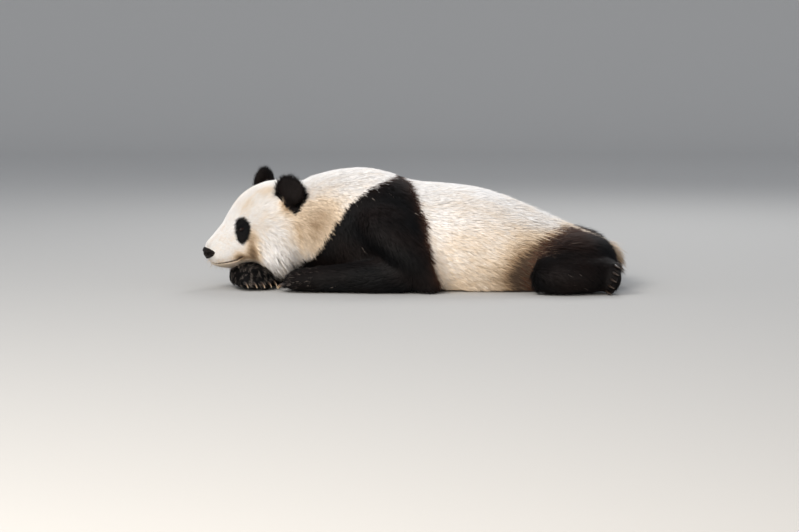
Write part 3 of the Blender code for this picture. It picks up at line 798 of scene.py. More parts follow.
groomPlan = {
    # closer to the slit, the nose's middle or the mouth is bare
    "bareLid": 0.14, "bareNose": 0.90, "bareLip": 0.0040,
    "croppedLid": 0.60, "croppedLip": 0.55, "ruffRise": 0.010,
    "hanging": ((0.235, 0.115, -0.085), (0.060, 0.06, 0.040)),  # the tips of the ruff, in the head
    "edgeWidth": 0.022, "edgeShorter": 0.35, "edgeNarrower": 0.30, "hangingLonger": 0.50,
    # how far tufts stand off
    "loose": {"hanging": 0.14, "rump": 0.42, "haunch": 0.22, "ear": 0.30, "tail": 0.20},
}
skinPoints, skinNormals, skinEdges = pointsOf(skin.data), normalsOf(skin.data), edgesOf(skin.data)
skinNode = nearestNode(skinPoints)
skinPart = partNames[skinNode]
skinBlack = markings(skinPoints, skinNode)
lie = relaxed(coatLie(skinPoints, skinNode), skinEdges, 60)
lie = unit(lie - skinNormals * (lie * skinNormals).sum(1, keepdims=True))


def slitAway(eye):  # the angle to the slit between the lids, and much more away from the eyeball
    distance = np.linalg.norm(skinPoints - eye["middle"], axis=1)
    return besideSlit(skinPoints, eye) + 9 * ease(0.0145, 0.022, distance)


inSlit = np.min([slitAway(eye) for eye in eyes.values()], axis=0)


def groomed():  # the coat's numbers at each point of the skin, and how far up its tufts may reach
    values = {key: relaxed(nodeField(skinNode, key, skinPoints), skinEdges, 8)[:, 0] for key in coatKeys}
    back, _, high = skinPoints.T
    behind, _, up = inHalfHead(skinPoints).T
    room = np.maximum(relaxed(roomOver(skinPoints)[0], skinEdges, 4)[:, 0], 0.6 * values["depth"])
    room = room + (np.minimum(room, 1.2 * values["depth"]) - room) * ease(0.07, 0.04, behind)
    inNose = insideNose(inHead(skinPoints))
    bare = (inSlit < groomPlan["bareLid"]) | (inNose < groomPlan["bareNose"])
    bare = bare | (lipAway < groomPlan["bareLip"])
    cropped = 1 - groomPlan["croppedLid"] * ease(1.1, 0.20, inSlit)
    cropped = cropped * (1 - groomPlan["croppedLip"] * ease(0.012, 0.004, lipAway))
    hanging = bump(inHalfHead(skinPoints), *groomPlan["hanging"])
    onEdge = hill(skinBlack, 0, groomPlan["edgeWidth"]) * ease(0.28, 0.32, behind)
    looseAt = {
        "hanging": hanging, "rump": ease(0.15, 0.45, back) * ease(0.12, 0.22, high),
        "haunch": ease(0.30, 0.42, back) * ease(0.22, 0.12, high),
        "ear": skinPart == "ear", "tail": skinPart == "tail",
    }
    ruff = ease(0.150, 0.172, behind) * ease(0.300, 0.280, behind) * ease(0.11, 0.04, up)
    values["bare"] = bare.astype(float)
    values["loose"] = sum(much * looseAt[key] for key, much in groomPlan["loose"].items())
    values["room"] = (room + groomPlan["ruffRise"] * relaxed(ruff, skinEdges, 2)[:, 0]) * cropped
    values["length"] *= cropped * (1 - groomPlan["edgeShorter"] * onEdge)
    values["length"] *= 1 + groomPlan["hangingLonger"] * hanging
    values["width"] *= np.sqrt(cropped) * (1 - groomPlan["edgeNarrower"] * onEdge)
    return values


fields = groomed()
print("lie of the coat set")


# ---- an unwrap of the skin, where the coat's pieces take their places for baking

def unwrapSkin():
    bpy.context.view_layer.objects.active = skin
    skin.select_set(True)
    skin.data.uv_layers.new(name="OFBake")
    bpy.ops.object.mode_set(mode="EDIT")
    bpy.ops.mesh.select_all(action="SELECT")
    bpy.ops.uv.smart_project(angle_limit=math.radians(75), island_margin=0.002)
    bpy.ops.object.mode_set(mode="OBJECT")
    skin.select_set(False)


unwrapSkin()
print("skin unwrapped")


# ---- the coat: solid tufts, each three-sided, closed at its root and pointed at its tip

# wool: tufts that rise from the skin, bend over and lie along it, 10 triangles each, where the coat is long
# hair: finer straight tufts between and over them, 4 triangles each, and the whole coat where it is short
# lock: no tufts, but the places that the tufts round them lean together to, as fur does in locks
# The least and greatest height are shares of the room under the solids' outline, and breadth is a share of
# the width. A ring's numbers are shares too: how far its middle is up the height, along the length and over
# to the lock's middle, then its radius in widths, and how flat it is.
tuftPlan = {
    "lock": {"count": 26000, "seed": 4},
    "wool": {"count": 60000, "seed": 5, "shortest": 0.020, "height": (0.80, 0.94), "breadth": 0.80,
             "rings": ((-0.08, 0, 0, 0.42, 0.6), (0.72, 0.40, 0.6, 0.50, 0.5))},
    "hair": {"count": 215000, "seed": 6, "height": (0.76, 1.06), "breadth": 0.46,
             "rings": ((0.35, 0, 0, 0.50, 0.6),)},
    "bakePatch": 0.003, "fewest": 30,  # a piece of the coat with fewer tufts than that is left out
    "bare": {"down": -0.55, "height": 0.022},  # nothing grows where the skin faces the floor that close to it
}
furLook = {
    "cream": {0.0: "#FFFDFA", 0.35: "#F0DBC0", 0.70: "#A58A6B", 1.0: "#4C3B2E"},
    # the rusty brown also paints a sheen on the thighs, and the pale dust colour also paints glints on
    # strands
    "blackDeep": "#09090A", "blackRustyAndSheen": "#5E3F30", "dustAndGlint": "#B0A398", "lip": "#33201A",
    "rootShade": 0.80, "tipShade": 1.06,  # a tuft is darker at its root, where its neighbours shade it
    "gather": 0.34, "lockSwirl": 0.09, "lockLength": 0.12, "lockHeight": 0.034, "lockRound": 0.17,
    "lockRadius": 0.006,
    "ownNormal": 0.22,  # how much of a tuft's own roundness shows in its shading, next to the body's form
}
tuftFaces = {
    "wool": np.array([(2, 1, 0), (0, 1, 4), (0, 4, 3), (1, 2, 5), (1, 5, 4), (2, 0, 3), (2, 3, 5), (3, 4, 6),
                      (4, 5, 6), (5, 3, 6)]),
    "hair": np.array([(2, 1, 0), (0, 1, 3), (1, 2, 3), (2, 0, 3)]),
}
tuftPatch = {  # where each point of a tuft lies in its patch of the unwrap
    "wool": np.array([(0, 0), (1, 0), (0.5, 1), (0, 0.5), (1, 0.5), (0.5, 0.9), (0.5, 0.5)]) - 0.5,
    "hair": np.array([(0, 0), (1, 0), (0.5, 1), (0.5, 0.5)]) - 0.5,
}
# how far up its tuft each point counts, for the shading
tuftRise = {"wool": np.array([0, 0, 0, 0.6, 0.6, 0.6, 1.0]), "hair": np.array([0.25, 0.25, 0.25, 1.0])}


def skinUvs():  # where each corner of the skin's faces lies in the unwrap
    return rowsOf(skin.data.uv_layers["OFBake"].uv, "vector", 2)


def skinTriangles():  # the points of the skin's triangles, and their corners in the unwrap
    skin.data.calc_loop_triangles()
    corners, loops = (rowsOf(skin.data.loop_triangles, key, 3, np.int32) for key in ("vertices", "loops"))
    return corners, skinUvs()[loops]


def scatterRoots(kind):  # evenly shuffled over the skin, more of them where the tufts are small
    plan = tuftPlan[kind]
    rng = np.random.default_rng(plan["seed"])
    corners, cornerUvs = skinTriangles()
    a, b, c = (skinPoints[corners[:, k]] for k in range(3))
    area = np.linalg.norm(np.cross(b - a, c - a), axis=1) / 2
    length, width, cover = (fields[key][corners].mean(1) for key in ("length", "width", "cover"))
    crowd = cover / (length * width)
    if kind == "wool":
        crowd = crowd * ease(plan["shortest"], plan["shortest"] + 0.008, length)
    elif kind == "hair":
        crowd = crowd * (1 - 0.30 * ease(0.020, 0.032, length))
    lowest = skinPoints[corners, 2].min(1)
    down = skinNormals[corners].mean(1)[:, 2]
    hidden = (down < tuftPlan["bare"]["down"]) & (lowest < tuftPlan["bare"]["height"])
    bare = fields["bare"][corners].mean(1) > 0.5
    weight = area * crowd * np.where(hidden | bare, 0, 1)
    steps = np.cumsum(weight) / weight.sum()
    draws = (np.arange(plan["count"]) + rng.random(plan["count"])) / plan["count"]
    triangle = np.searchsorted(steps, draws)
    one, two = np.sqrt(rng.random(len(draws))), rng.random(len(draws))
    shares = np.stack([1 - one, one * (1 - two), one * two], 1)[:, :, None]
    picked = corners[triangle]

    def mixed(values):
        return (values[picked].reshape(len(picked), 3, -1) * shares).sum(1)

    roots = {
        "place": mixed(skinPoints),
        "normal": unit(mixed(skinNormals)),
        "lie": unit(mixed(lie)),
        "node": skinNode[picked[:, 0]],
        "uv": (cornerUvs[triangle] * shares).sum(1),
    }
    for key in ("length", "width", "loose", "room"):
        roots[key] = mixed(fields[key])[:, 0]
    return roots, rng


def ringRound(middle, side, up, broad, flat):  # three points round the middle of a tuft, flatter than broad
    turn = np.array([0, 2, 4]) * math.pi / 3 + math.pi / 2
    across = side[:, None] * (np.cos(turn) * broad[:, None])[:, :, None]
    return middle[:, None] + across + up[:, None] * (np.sin(turn) * flat * broad[:, None])[:, :, None]


def lockTable():  # the locks' middles in a search tree, and how each lock differs from the rest
    roots, rng = scatterRoots("lock")
    tree = KDTree(len(roots["place"]))
    for number, place in enumerate(roots["place"].tolist()):
        tree.insert(place, number)
    tree.balance()
    count = len(roots["place"])
    table = {"tree": tree, "place": roots["place"], "swirl": rng.normal(0, 1, count)}
    for key, least in (("length", -1), ("height", -1), ("shade", 0)):
        table[key] = rng.uniform(least, 1, count)
    return table


locks = lockTable()


# the points of each tuft: rings of 3 from the root, then its tip; and their normals
def growTufts(kind, roots, rng):
    count, plan = len(roots["place"]), tuftPlan[kind]
    place, normal = roots["place"], roots["normal"]
    lock = np.array([locks["tree"].find(point)[1] for point in place.tolist()])
    roots["lock"] = lock
    across = unit(np.cross(normal, roots["lie"]))
    gathered = ease(0.008, 0.026, roots["length"])
    swirl = 0.09 * ripple(place, 0.09, 21) + furLook["lockSwirl"] * gathered * locks["swirl"][lock]
    swirl = swirl + rng.normal(0, 0.09, count)
    along = roots["lie"] * np.cos(swirl)[:, None] + across * np.sin(swirl)[:, None]
    side = unit(np.cross(normal, along))
    # how far from the middle of its lock a tuft is rooted
    beside = ((place - locks["place"][lock]) * across).sum(1)
    lean = -across * (beside * gathered * rng.uniform(0.7, 1.1, count))[:, None] * furLook["gather"]
    length = roots["length"] * (1 + furLook["lockLength"] * gathered * locks["length"][lock])
    length = length * rng.uniform(0.78, 1.12, count)
    height = 0.93 + furLook["lockHeight"] * gathered * locks["height"][lock]
    height = np.maximum(roots["room"], 0.0010) * height * rng.uniform(*plan["height"], count)
    height = height + length * roots["loose"] * rng.uniform(0, 1, count) ** 3
    length = length * (1 + 1.5 * roots["loose"] * rng.uniform(-1, 1, count))
    height = np.minimum(height, 0.75 * length)
    width = roots["width"] * rng.uniform(0.75, 1.2, count) * plan["breadth"]
    tip = place + normal * height[:, None] + along * length[:, None] + lean
    rings = []
    for rise, reach, leaned, broad, flat in plan["rings"]:
        middle = place + normal * (rise * height)[:, None] + along * (reach * length)[:, None] + lean * leaned
        rings.append(ringRound(middle, side, normal, broad * width, flat))
    points = np.concatenate([*rings, tip[:, None]], 1)
    fromMiddle = points - points.mean(1, keepdims=True)
    axis = unit(tip - place)[:, None]
    outward = unit(fromMiddle - axis * (fromMiddle * axis).sum(-1, keepdims=True))
    rounded = np.clip(beside / furLook["lockRadius"], -1, 1) * gathered * furLook["lockRound"]
    normals = unit(outward * furLook["ownNormal"] + (normal + across * rounded[:, None])[:, None])
    return aboveFloor(points, "tufts"), normals


def coatMesh(name, parts):  # parts: (kind, points, normals, unwrap places, values) of each kind of tuft
    points, normals, faces, spread, values = [], [], [], [], {}
    start = 0
    for kind, tuftPoints, tuftNormals, places, tuftValues in parts:
        count, each = tuftPoints.shape[:2]
        faces.append((tuftFaces[kind][None] + each * np.arange(count)[:, None, None]).reshape(-1, 3) + start)
        points.append(tuftPoints.reshape(-1, 3))
        normals.append(tuftNormals.reshape(-1, 3))
        spread.append((places[:, None] + tuftPatch[kind][None] * tuftPlan["bakePatch"]).reshape(-1, 2))
        for key, value in tuftValues.items():
            values.setdefault(key, []).append(np.repeat(value, each))
        values.setdefault("rise", []).append(np.tile(tuftRise[kind], count))
        start += count * each
    points, normals, faces, spread = (np.concatenate(rows) for rows in (points, normals, faces, spread))
    mesh = bpy.data.meshes.new(name)
    mesh.vertices.add(len(points))
    mesh.loops.add(3 * len(faces))
    mesh.polygons.add(len(faces))
    mesh.vertices.foreach_set("co", points.astype(np.float32).ravel())
    mesh.loops.foreach_set("vertex_index", faces.astype(np.int32).ravel())
    mesh.polygons.foreach_set("loop_start", np.arange(0, 3 * len(faces), 3, dtype=np.int32))
    mesh.update(calc_edges=True)
    mesh.validate()
    mesh.shade_smooth()
    layer = mesh.uv_layers.new(name="OFBake")
    layer.uv.foreach_set("vector", spread[faces.ravel()].astype(np.float32).ravel())
    for key, rows in values.items():
        setAttribute(mesh, key, np.concatenate(rows))
    mesh.normals_split_custom_set_from_vertices(normals.tolist())
    return sceneObject(name, mesh)


# How often a tuft is pale with dust and painted glints, how much of that colour, and the size of their clumps
dustAndGlintPlan = {
    "all": 0.001, "forepaw_left": 0.041, "forepaw_right": 0.241, "hindfoot": 0.009, "much": (0.1, 0.8),
    "clump": 0.022, "seed": 41,
}
# How far tufts of one colour stray over the edge into the other: all over, from the neck back, and on the
# haunch
strayPlan = {"all": 0.0015, "body": 0.0025, "haunch": 0.009, "lowHaunch": 0.015}


# the share of pale grey-brown in each tuft, dust and painted glints of light on strands: now and then on the
# paws, rarely on the body
def dustedAndGlinting(roots, rng):  # the share of dusty brown in each tuft: now and then on the paws, rarely on the body
    rows = zip(fleshNodes, partNames)
    chances = [dustAndGlintPlan.get(node, dustAndGlintPlan.get(part, dustAndGlintPlan["all"])) for node, part in rows]
    clump = ease(-0.1, 0.5, ripple(roots["place"], dustAndGlintPlan["clump"], dustAndGlintPlan["seed"]))
    chance = np.array(chances)[roots["node"]] * clump * 1.6
    return np.where(rng.random(len(chance)) < chance, rng.uniform(*dustAndGlintPlan["much"], len(chance)), 0.0)


def grownCoat(kind):  # everything about each tuft of that kind, one row each
    roots, rng = scatterRoots(kind)
    points, normals = growTufts(kind, roots, rng)
    place, count = roots["place"], len(points)
    back, _, high = place.T
    onHaunch = ease(0.28, 0.38, back) * ease(0.60, 0.48, back)
    stray = strayPlan["all"] + strayPlan["body"] * ease(-0.40, -0.30, back)
    stray = stray + (strayPlan["haunch"] + strayPlan["lowHaunch"] * ease(0.22, 0.12, high)) * onHaunch
    black = markings(place + stray[:, None] * rng.normal(size=place.shape), roots["node"]) > 0
    values = {
        "soil": soil(place) + rng.normal(0, 0.05, count), "rust": rust(place, roots["node"]),
        "shade": 0.5 * rng.uniform(0, 1, count) + 0.5 * locks["shade"][roots["lock"]],
        "glint": dustedAndGlinting(roots, rng),
    }
    return {
        "kind": kind, "roots": roots, "points": points, "normals": normals, "black": black, "values": values,
    }


def regionOf(roots):  # the name of the coat's piece that each tuft goes into
    part = partNames[roots["node"]]
    x, y, _ = roots["place"].T
    onHead = np.isin(part, ("head", "ear"))
    left = np.where(onHead, inHead(roots["place"])[:, 1] > 0, y < 0)
    broad = np.select(
        [part == "head", part == "ear", part == "neck", np.isin(part, ("forearm", "forepaw")),
         np.isin(part, ("shank", "hindfoot")), x < 0.03, x < 0.33],
        ["head", "ear", "neck", "foreleg", "hindleg", "shoulder", "flank"], "haunch",
    )
    return np.char.add(np.char.add(broad, "_"), np.where(left, "left", "right"))


whiskerPlan = {
    "count": 150, "length": 0.026, "width": 0.0011, "seed": 31,
    "behind": (0.012, 0.10), "up": (-0.085, -0.030),  # where they grow, in the head
    "values": {"soil": 0.3, "rust": 0.0, "shade": 0.6, "glint": 0.0},
}


def whiskers():  # stiff pale hairs on the lips and chin, standing out of the short fur
    rng = np.random.default_rng(whiskerPlan["seed"])
    behind, _, up = inHead(skinPoints).T
    onLip = (np.digitize(behind, whiskerPlan["behind"]) == 1) & (np.digitize(up, whiskerPlan["up"]) == 1)
    chosen = rng.choice(np.flatnonzero(onLip & (fields["bare"] < 0.5)), whiskerPlan["count"], replace=False)
    place, normal = skinPoints[chosen], skinNormals[chosen]
    out = normal + 0.9 * lie[chosen] * rng.uniform(0.2, 1.2, (len(chosen), 1))
    out = unit(out + 0.25 * rng.normal(size=place.shape))
    length = whiskerPlan["length"] * rng.uniform(0.5, 1.2, len(chosen))
    side = unit(np.cross(normal, out))
    radius = np.full(len(chosen), whiskerPlan["width"] / 2)
    base = ringRound(place, side, unit(np.cross(out, side)), radius, 1.0)
    points = np.concatenate([base, (place + out * length[:, None])[:, None]], 1)
    points = aboveFloor(points, "tufts")
    normals = unit(points - points.mean(1, keepdims=True) + 0.3 * normal[:, None])
    values = {key: np.full(len(chosen), value) for key, value in whiskerPlan["values"].items()}
    spot = np.zeros((len(skinPoints), 2))
    spot[rowsOf(skin.data.loops, "vertex_index", 1, np.int32)[:, 0]] = skinUvs()
    return coatMesh("coat_whiskers", [("hair", points, normals, spot[chosen], values)])


coats = [grownCoat(kind) for kind in ("wool", "hair")]
coatRegions = [regionOf(coat["roots"]) for coat in coats]
coatPieces = {"white": [whiskers()], "black": []}
triangleCount = len(coatPieces["white"][0].data.polygons)
for region in sorted(set(np.concatenate(coatRegions))):
    for colour in coatPieces:
        parts = []
        for coat, regionNames in zip(coats, coatRegions):
            rows = np.flatnonzero((regionNames == region) & (coat["black"] == (colour == "black")))
            values = {key: value[rows] for key, value in coat["values"].items()}
            ofTufts = (table[rows] for table in (coat["points"], coat["normals"], coat["roots"]["uv"]))
            parts.append((coat["kind"], *ofTufts, values))
        if sum(len(part[1]) for part in parts) < tuftPlan["fewest"]:
            continue
        piece = coatMesh(f"coat_{colour}_{region}", parts)
        coatPieces[colour].append(piece)
        triangleCount += len(piece.data.polygons)
        print(" ", piece.name, len(piece.data.polygons))
print("coat:", triangleCount, "triangles")


# ---- the bare parts: eyeballs, nose, claws and pads

# a ball whose front, the cornea, stands out a little, with its rings round the pupil's axis
def eyeball(sideName):
    eye = eyes[sideName]
    directions = ballRings(60, 64)
    fromPole = np.arccos(np.clip(directions[..., 0], -1, 1))
    radius = eye["radius"] * (1 + eyePlan["cornea"] * np.exp(-(fromPole / eyePlan["corneaTurn"]) ** 4))
    frameRows = np.stack([eye["outward"], eye["forward"], eye["upward"]])
    made = tubeSurface(f"eyeball_{sideName}", eye["middle"] + directions @ frameRows * radius[..., None])
    around = np.concatenate([fromPole.ravel(), [0, math.pi]])
    turned = np.concatenate([np.arctan2(directions[..., 2], directions[..., 1]).ravel(), [0, 0]])
    setAttribute(made.data, "fromPupil", around)
    setAttribute(made.data, "roundPupil", turned)
    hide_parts(f"eye_{sideName}")
    return made


# from the foremost point out to the rim along quarter arcs, then turned in under the muzzle's fur
def noseLeather():
    rim = noseRim(nosePlan["columns"])
    share = np.linspace(0.02, 1, nosePlan["rows"])[:, None]
    outward = np.sin(share * math.pi / 2) ** 0.92
    backward = (1 - np.cos(share * math.pi / 2)) ** 1.12
    pole = np.array(nosePlan["pole"])
    behind = pole[0] + (rim[None, :, 0] - pole[0]) * backward
    left = rim[None, :, 1] * outward
    up = pole[2] + (rim[None, :, 2] - pole[2]) * outward
    slot = alongLine(nosePlan["nostril"], 40)
    narrowing = np.linspace(1, nosePlan["nostrilEnd"], len(slot))
    gap = np.hypot(np.abs(left)[..., None] - slot[:, 0], (up[..., None] - slot[:, 1]) * 1.15)
    near = (gap / (nosePlan["nostrilWidth"] * narrowing)).min(-1)
    nearest = gap.argmin(-1)
    behind = behind + nosePlan["nostrilDepth"] * narrowing[nearest] * np.exp(-near ** 2.4)
    behind = behind - nosePlan["nostrilRim"] * hill(near, 1.75, 0.55)
    split = nosePlan["split"] * hill(left, 0, nosePlan["splitWidth"])
    behind = behind + split * ease(*nosePlan["splitUp"], up)
    grid = np.stack([behind, left, up], -1)
    middle = np.array([0, 0, pole[2]])
    turnedIn = [(grid[-1] - middle) * (1, narrow, narrow) + middle + np.array((back, 0, 0))
                for narrow, back in nosePlan["turnedIn"]]
    grid = np.concatenate([grid, np.stack(turnedIn)])
    made = tubeSurface("nose_leather", flatterTip(onHead(grid.reshape(-1, 3))).reshape(grid.shape))
    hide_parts("nose")
    return made


clawPlan = {
    "length": 0.034, "radius": 0.0055, "bend": 0.95, "root": (1.15, 0.15), "pitch": 1.42, "arc": 0.22,
    "rooted": -0.40,  # how far round its arc a claw goes on inside the toe
    "around": 20, "ridge": 0.03, "narrow": 0.70,
    "pale": {"fore": 1.0, "hind": 0.55},  # the hind claws are darker
    # the middle toe, the way the toes point, the way from toe to toe, and half a toe's width
    "rows": {
        ("fore", "left"): ((-0.429, -0.203, 0.026), (-0.96, 0.26, -0.05), (0.26, 0.96, 0), 0.0185),
        ("fore", "right"): ((-0.545, -0.170, 0.026), (0.50, -0.87, -0.05), (-0.87, -0.50, 0), 0.020),
        ("hind", "left"): ((0.688, -0.345, 0.058), (0.05, -0.98, -0.10), (0.30, 0, 0.95), 0.017),
        ("hind", "right"): ((0.688, 0.345, 0.058), (0.05, 0.98, -0.10), (0.30, 0, 0.95), 0.017),
    },
}


def toeRow(limb):  # the five toes' middles, the ways ahead, across and to the sole, and half a toe's width
    middle, ahead, across, toe = clawPlan["rows"][limb]
    ahead = unit(np.array(ahead, float))
    across = np.array(across, float)
    across = unit(across - ahead * (across @ ahead))
    down = np.cross(across, ahead)
    down = down * (-1 if down[2] > 0 else 1)
    off = np.arange(5)[:, None] - 2
    middles = np.array(middle) + toe * (clawPlan["pitch"] * off * across - clawPlan["arc"] * off ** 2 * ahead)
    return middles, ahead, across, down, toe


# a ring carried along an arc down from the toe, narrowing to the tip, ridged along its length
def claw(limb, number):
    middles, ahead, across, down, toe = toeRow(limb)
    out, low = clawPlan["root"]
    start = middles[number] + toe * (out * ahead - low * down)
    rooted, bend = clawPlan["rooted"], clawPlan["bend"]
    turn = np.concatenate([np.linspace(rooted, 0, 8)[:-1], np.linspace(0, bend, 22)])[:, None]
    path = start + clawPlan["length"] * (ahead * np.sin(turn) + down * (1 - np.cos(turn)))
    tangent = ahead * np.cos(turn) + down * np.sin(turn)
    over = np.cross(tangent, across)
    radius = clawPlan["radius"] * np.clip(1 - np.clip(turn, 0, None), 0.02, 1) ** 0.6
    angle = np.linspace(0, 2 * math.pi, clawPlan["around"], endpoint=False)
    ridged = 1 + clawPlan["ridge"] * np.cos(9 * angle)
    sideways = across * (clawPlan["narrow"] * ridged * np.cos(angle))[:, None]
    upward = over[:, None] * (ridged * np.sin(angle))[None, :, None]
    rings = aboveFloor(placed(path[:, None] + radius[..., None] * (sideways[None] + upward)), "bare")
    made = tubeSurface(f"horn_{limb[0]}_{limb[1]}_{number + 1}", rings)
    along = np.concatenate([np.repeat(turn[:, 0] / bend, len(angle)), [rooted, 1]])
    setAttribute(made.data, "along", along * clawPlan["pale"][limb[0]])
    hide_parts(f"claw_{limb[0]}_{limb[1]}_{number + 1}")
    return made


padPlan = {
    # half its extent ahead and across and its thickness, and how far ahead of the toe's middle, in half
    # widths of a toe
    "toe": {"radii": (0.74, 0.60), "thickness": 0.30, "ahead": 0.15},
    "ball": {"radii": (0.80, 2.30), "thickness": 0.36, "ahead": -2.0},
    # it is dropped onto the sole from above
    "rounds": 12, "around": 32, "sunk": (0.002, 0.006, 0.006), "above": 0.12,
}


# rings round a middle on the sole, raised less towards their rim, then turned in
def pawPad(name, limb, middle, plan):
    _, ahead, across, down, toe = toeRow(limb)
    share = np.concatenate([np.linspace(0.04, 1, padPlan["rounds"]), [0.97, 0.80]])[:, None]
    turn = np.arange(padPlan["around"]) / padPlan["around"] * 2 * math.pi
    spread = [share * np.sign(wave) * np.abs(wave) ** 0.85 * radius * toe
              for wave, radius in zip((np.cos(turn), np.sin(turn)), plan["radii"])]
    lengthwise, crosswise = (ahead * spread[0][..., None], across * spread[1][..., None])
    starts = placed(middle + down * padPlan["above"] + lengthwise + crosswise)
    deep = []
    for start in starts.reshape(-1, 3):
        hit = outline.ray_cast(Vector(start), Vector(-down), 0.2)[0]
        deep.append(padPlan["above"] if hit is None else (Vector(start) - hit).length)
    surface = starts - down * np.minimum(np.array(deep), np.median(deep) + 0.010).reshape(len(share), -1, 1)
    raised = plan["thickness"] * toe * (1 - share ** 2.6)
    raised[padPlan["rounds"] - 1:] = -np.array(padPlan["sunk"])[:, None]
    return tubeSurface(name, aboveFloor(surface + down * (raised - 0.001)[..., None], "bare"))


def solePads(limb):  # a pad under each toe and a broad one behind them
    middles, ahead, _, _, toe = toeRow(limb)
    toePlan, ballPlan = padPlan["toe"], padPlan["ball"]
    names = [f"pad_{limb[0]}_{limb[1]}_{part}" for part in (1, 2, 3, 4, 5, "ball")]
    made = [pawPad(name, limb, middle + toe * toePlan["ahead"] * ahead, toePlan)
            for name, middle in zip(names, middles)]
    return made + [pawPad(names[-1], limb, middles[2] + toe * ballPlan["ahead"] * ahead, ballPlan)]


eyeballs = [eyeball(sideName) for sideName in sides]
nose = noseLeather()
claws = [claw(limb, number) for limb in clawPlan["rows"] for number in range(5)]
pads = [pad for limb in clawPlan["rows"] if limb[0] == "hind" for pad in solePads(limb)]
print("eyes, nose, claws and pads made")


# ---- materials

def linear(hexColour):  # a hex colour as linear red, green, blue and alpha
    values = [int(hexColour[k:k + 2], 16) / 255 for k in (1, 3, 5)]
    return tuple(v / 12.92 if v <= 0.04045 else ((v + 0.055) / 1.055) ** 2.4 for v in values) + (1.0,)


# settings are properties, inputs or a ramp's colours; links go into inputs
def setNode(node, settings, links):
    for key, value in settings.items():
        value = linear(value) if str(value).startswith("#") else value
        if key == "ramp":  # a place along it from 0 to 1, and the colour there
            elements = node.color_ramp.elements
            while len(elements) < len(value):
                elements.new(0.5)
            for element, (place, colour) in zip(elements, sorted(value.items())):
                element.position, element.color = place, linear(colour)
        elif isinstance(key, str) and hasattr(node, key):
            setattr(node, key, value)
        else:
            node.inputs[key].default_value = value
    for key, source in links.items():
        node.id_data.links.new(source, node.inputs[key])


def addNode(tree, kind, settings, links=None):  # a new node, set and linked; gives its outputs
    node = tree.nodes.new("ShaderNode" + kind)
    setNode(node, settings, links or {})
    return node.outputs


def newMaterial(name, *keys):  # a material, what adds a node to it, its shader, those numbers of the points
    material = bpy.data.materials.new(name)
    material.use_nodes = True
    tree = material.node_tree
    add = partial(addNode, tree)
    numbers = [add("Attribute", {"attribute_name": key})["Fac"] for key in keys]
    return material, add, tree.nodes["Principled BSDF"], numbers


blackMix = {"data_type": "RGBA", 6: furLook["blackDeep"], 7: furLook["blackRustyAndSheen"]}


# the colour from low to high by tuft, and darker at its root
def shadedTuft(add, colour, shade, rise, low, high):
    byTuft = add("MapRange", {"To Min": low, "To Max": high}, {"Value": shade})[0]
    rootToTip = {"From Max": 0.8, "To Min": furLook["rootShade"], "To Max": furLook["tipShade"]}
    byRise = add("MapRange", rootToTip, {"Value": rise})[0]
    value = add("Math", {"operation": "MULTIPLY"}, {0: byTuft, 1: byRise})[0]
    return add("HueSaturation", {}, {"Color": colour, "Value": value})[0]


# guard hairs of a bear's white coat: matt cream, soiled and darkened by painted shade to brown, with a soft
# bloom at the edges
def creamFur():
    material, add, shader, (soiledAndShaded, shade, rise) = newMaterial("creamBearFur", "soil", "shade", "rise")
    cream = add("ValToRGB", {"ramp": furLook["cream"]}, {"Fac": soiledAndShaded})[0]
    constants = {"Roughness": 0.78, "Specular IOR Level": 0.25, "Sheen Weight": 0.25, "Sheen Roughness": 0.5}
    setNode(shader, constants, {"Base Color": shadedTuft(add, cream, shade, rise, 0.84, 1.04)})
    return material


def blackFur():  # guard hairs of a bear's black coat: brown-black with a low satin sheen
    material, add, shader, numbers = newMaterial("blackBearFur", "rust", "shade", "rise", "glint")
    rustyAndSheen, shade, rise, glint = numbers
    # rusty brown, which on the thighs is partly a painted sheen
    black = add("Mix", blackMix, {"Factor": rustyAndSheen})[2]
    tuft = shadedTuft(add, black, shade, rise, 0.5, 1.5)
    # pale tufts: dust, and painted glints of light on strands
    dustAndGlintColour = add("Mix", {"data_type": "RGBA", 7: furLook["dustAndGlint"]}, {"Factor": glint, 6: tuft})[2]
    setNode(shader, {"Roughness": 0.62, "Specular IOR Level": 0.12}, {"Base Color": dustAndGlintColour})
    return material


# matt wool under the guard hairs, in the coat's colours with their painted shade and sheen, and dark bare
# skin at lids and lips
def underSkin():
    material, add, shader, numbers = newMaterial("bearUnderwool", "soil", "rust", "black", "lip")
    soiledAndShaded, rustyAndSheen, blackShare, lip = numbers
    cream = add("ValToRGB", {"ramp": furLook["cream"]}, {"Fac": soiledAndShaded})[0]
    black = add("Mix", blackMix, {"Factor": rustyAndSheen})[2]
    wool = add("Mix", {"data_type": "RGBA"}, {"Factor": blackShare, 6: cream, 7: black})[2]
    bare = add("Mix", {"data_type": "RGBA", 7: furLook["lip"]}, {"Factor": lip, 6: wool})[2]
    place = add("TexCoord", {})["Object"]
    nap = add("TexNoise", {"Scale": 450.0, "Detail": 2.0}, {"Vector": place})["Fac"]
    raised = add("Bump", {"Strength": 0.4, "Distance": 0.0006}, {"Height": nap})["Normal"]
    setNode(shader, {"Roughness": 0.9, "Specular IOR Level": 0.15}, {"Base Color": bare, "Normal": raised})
    return material


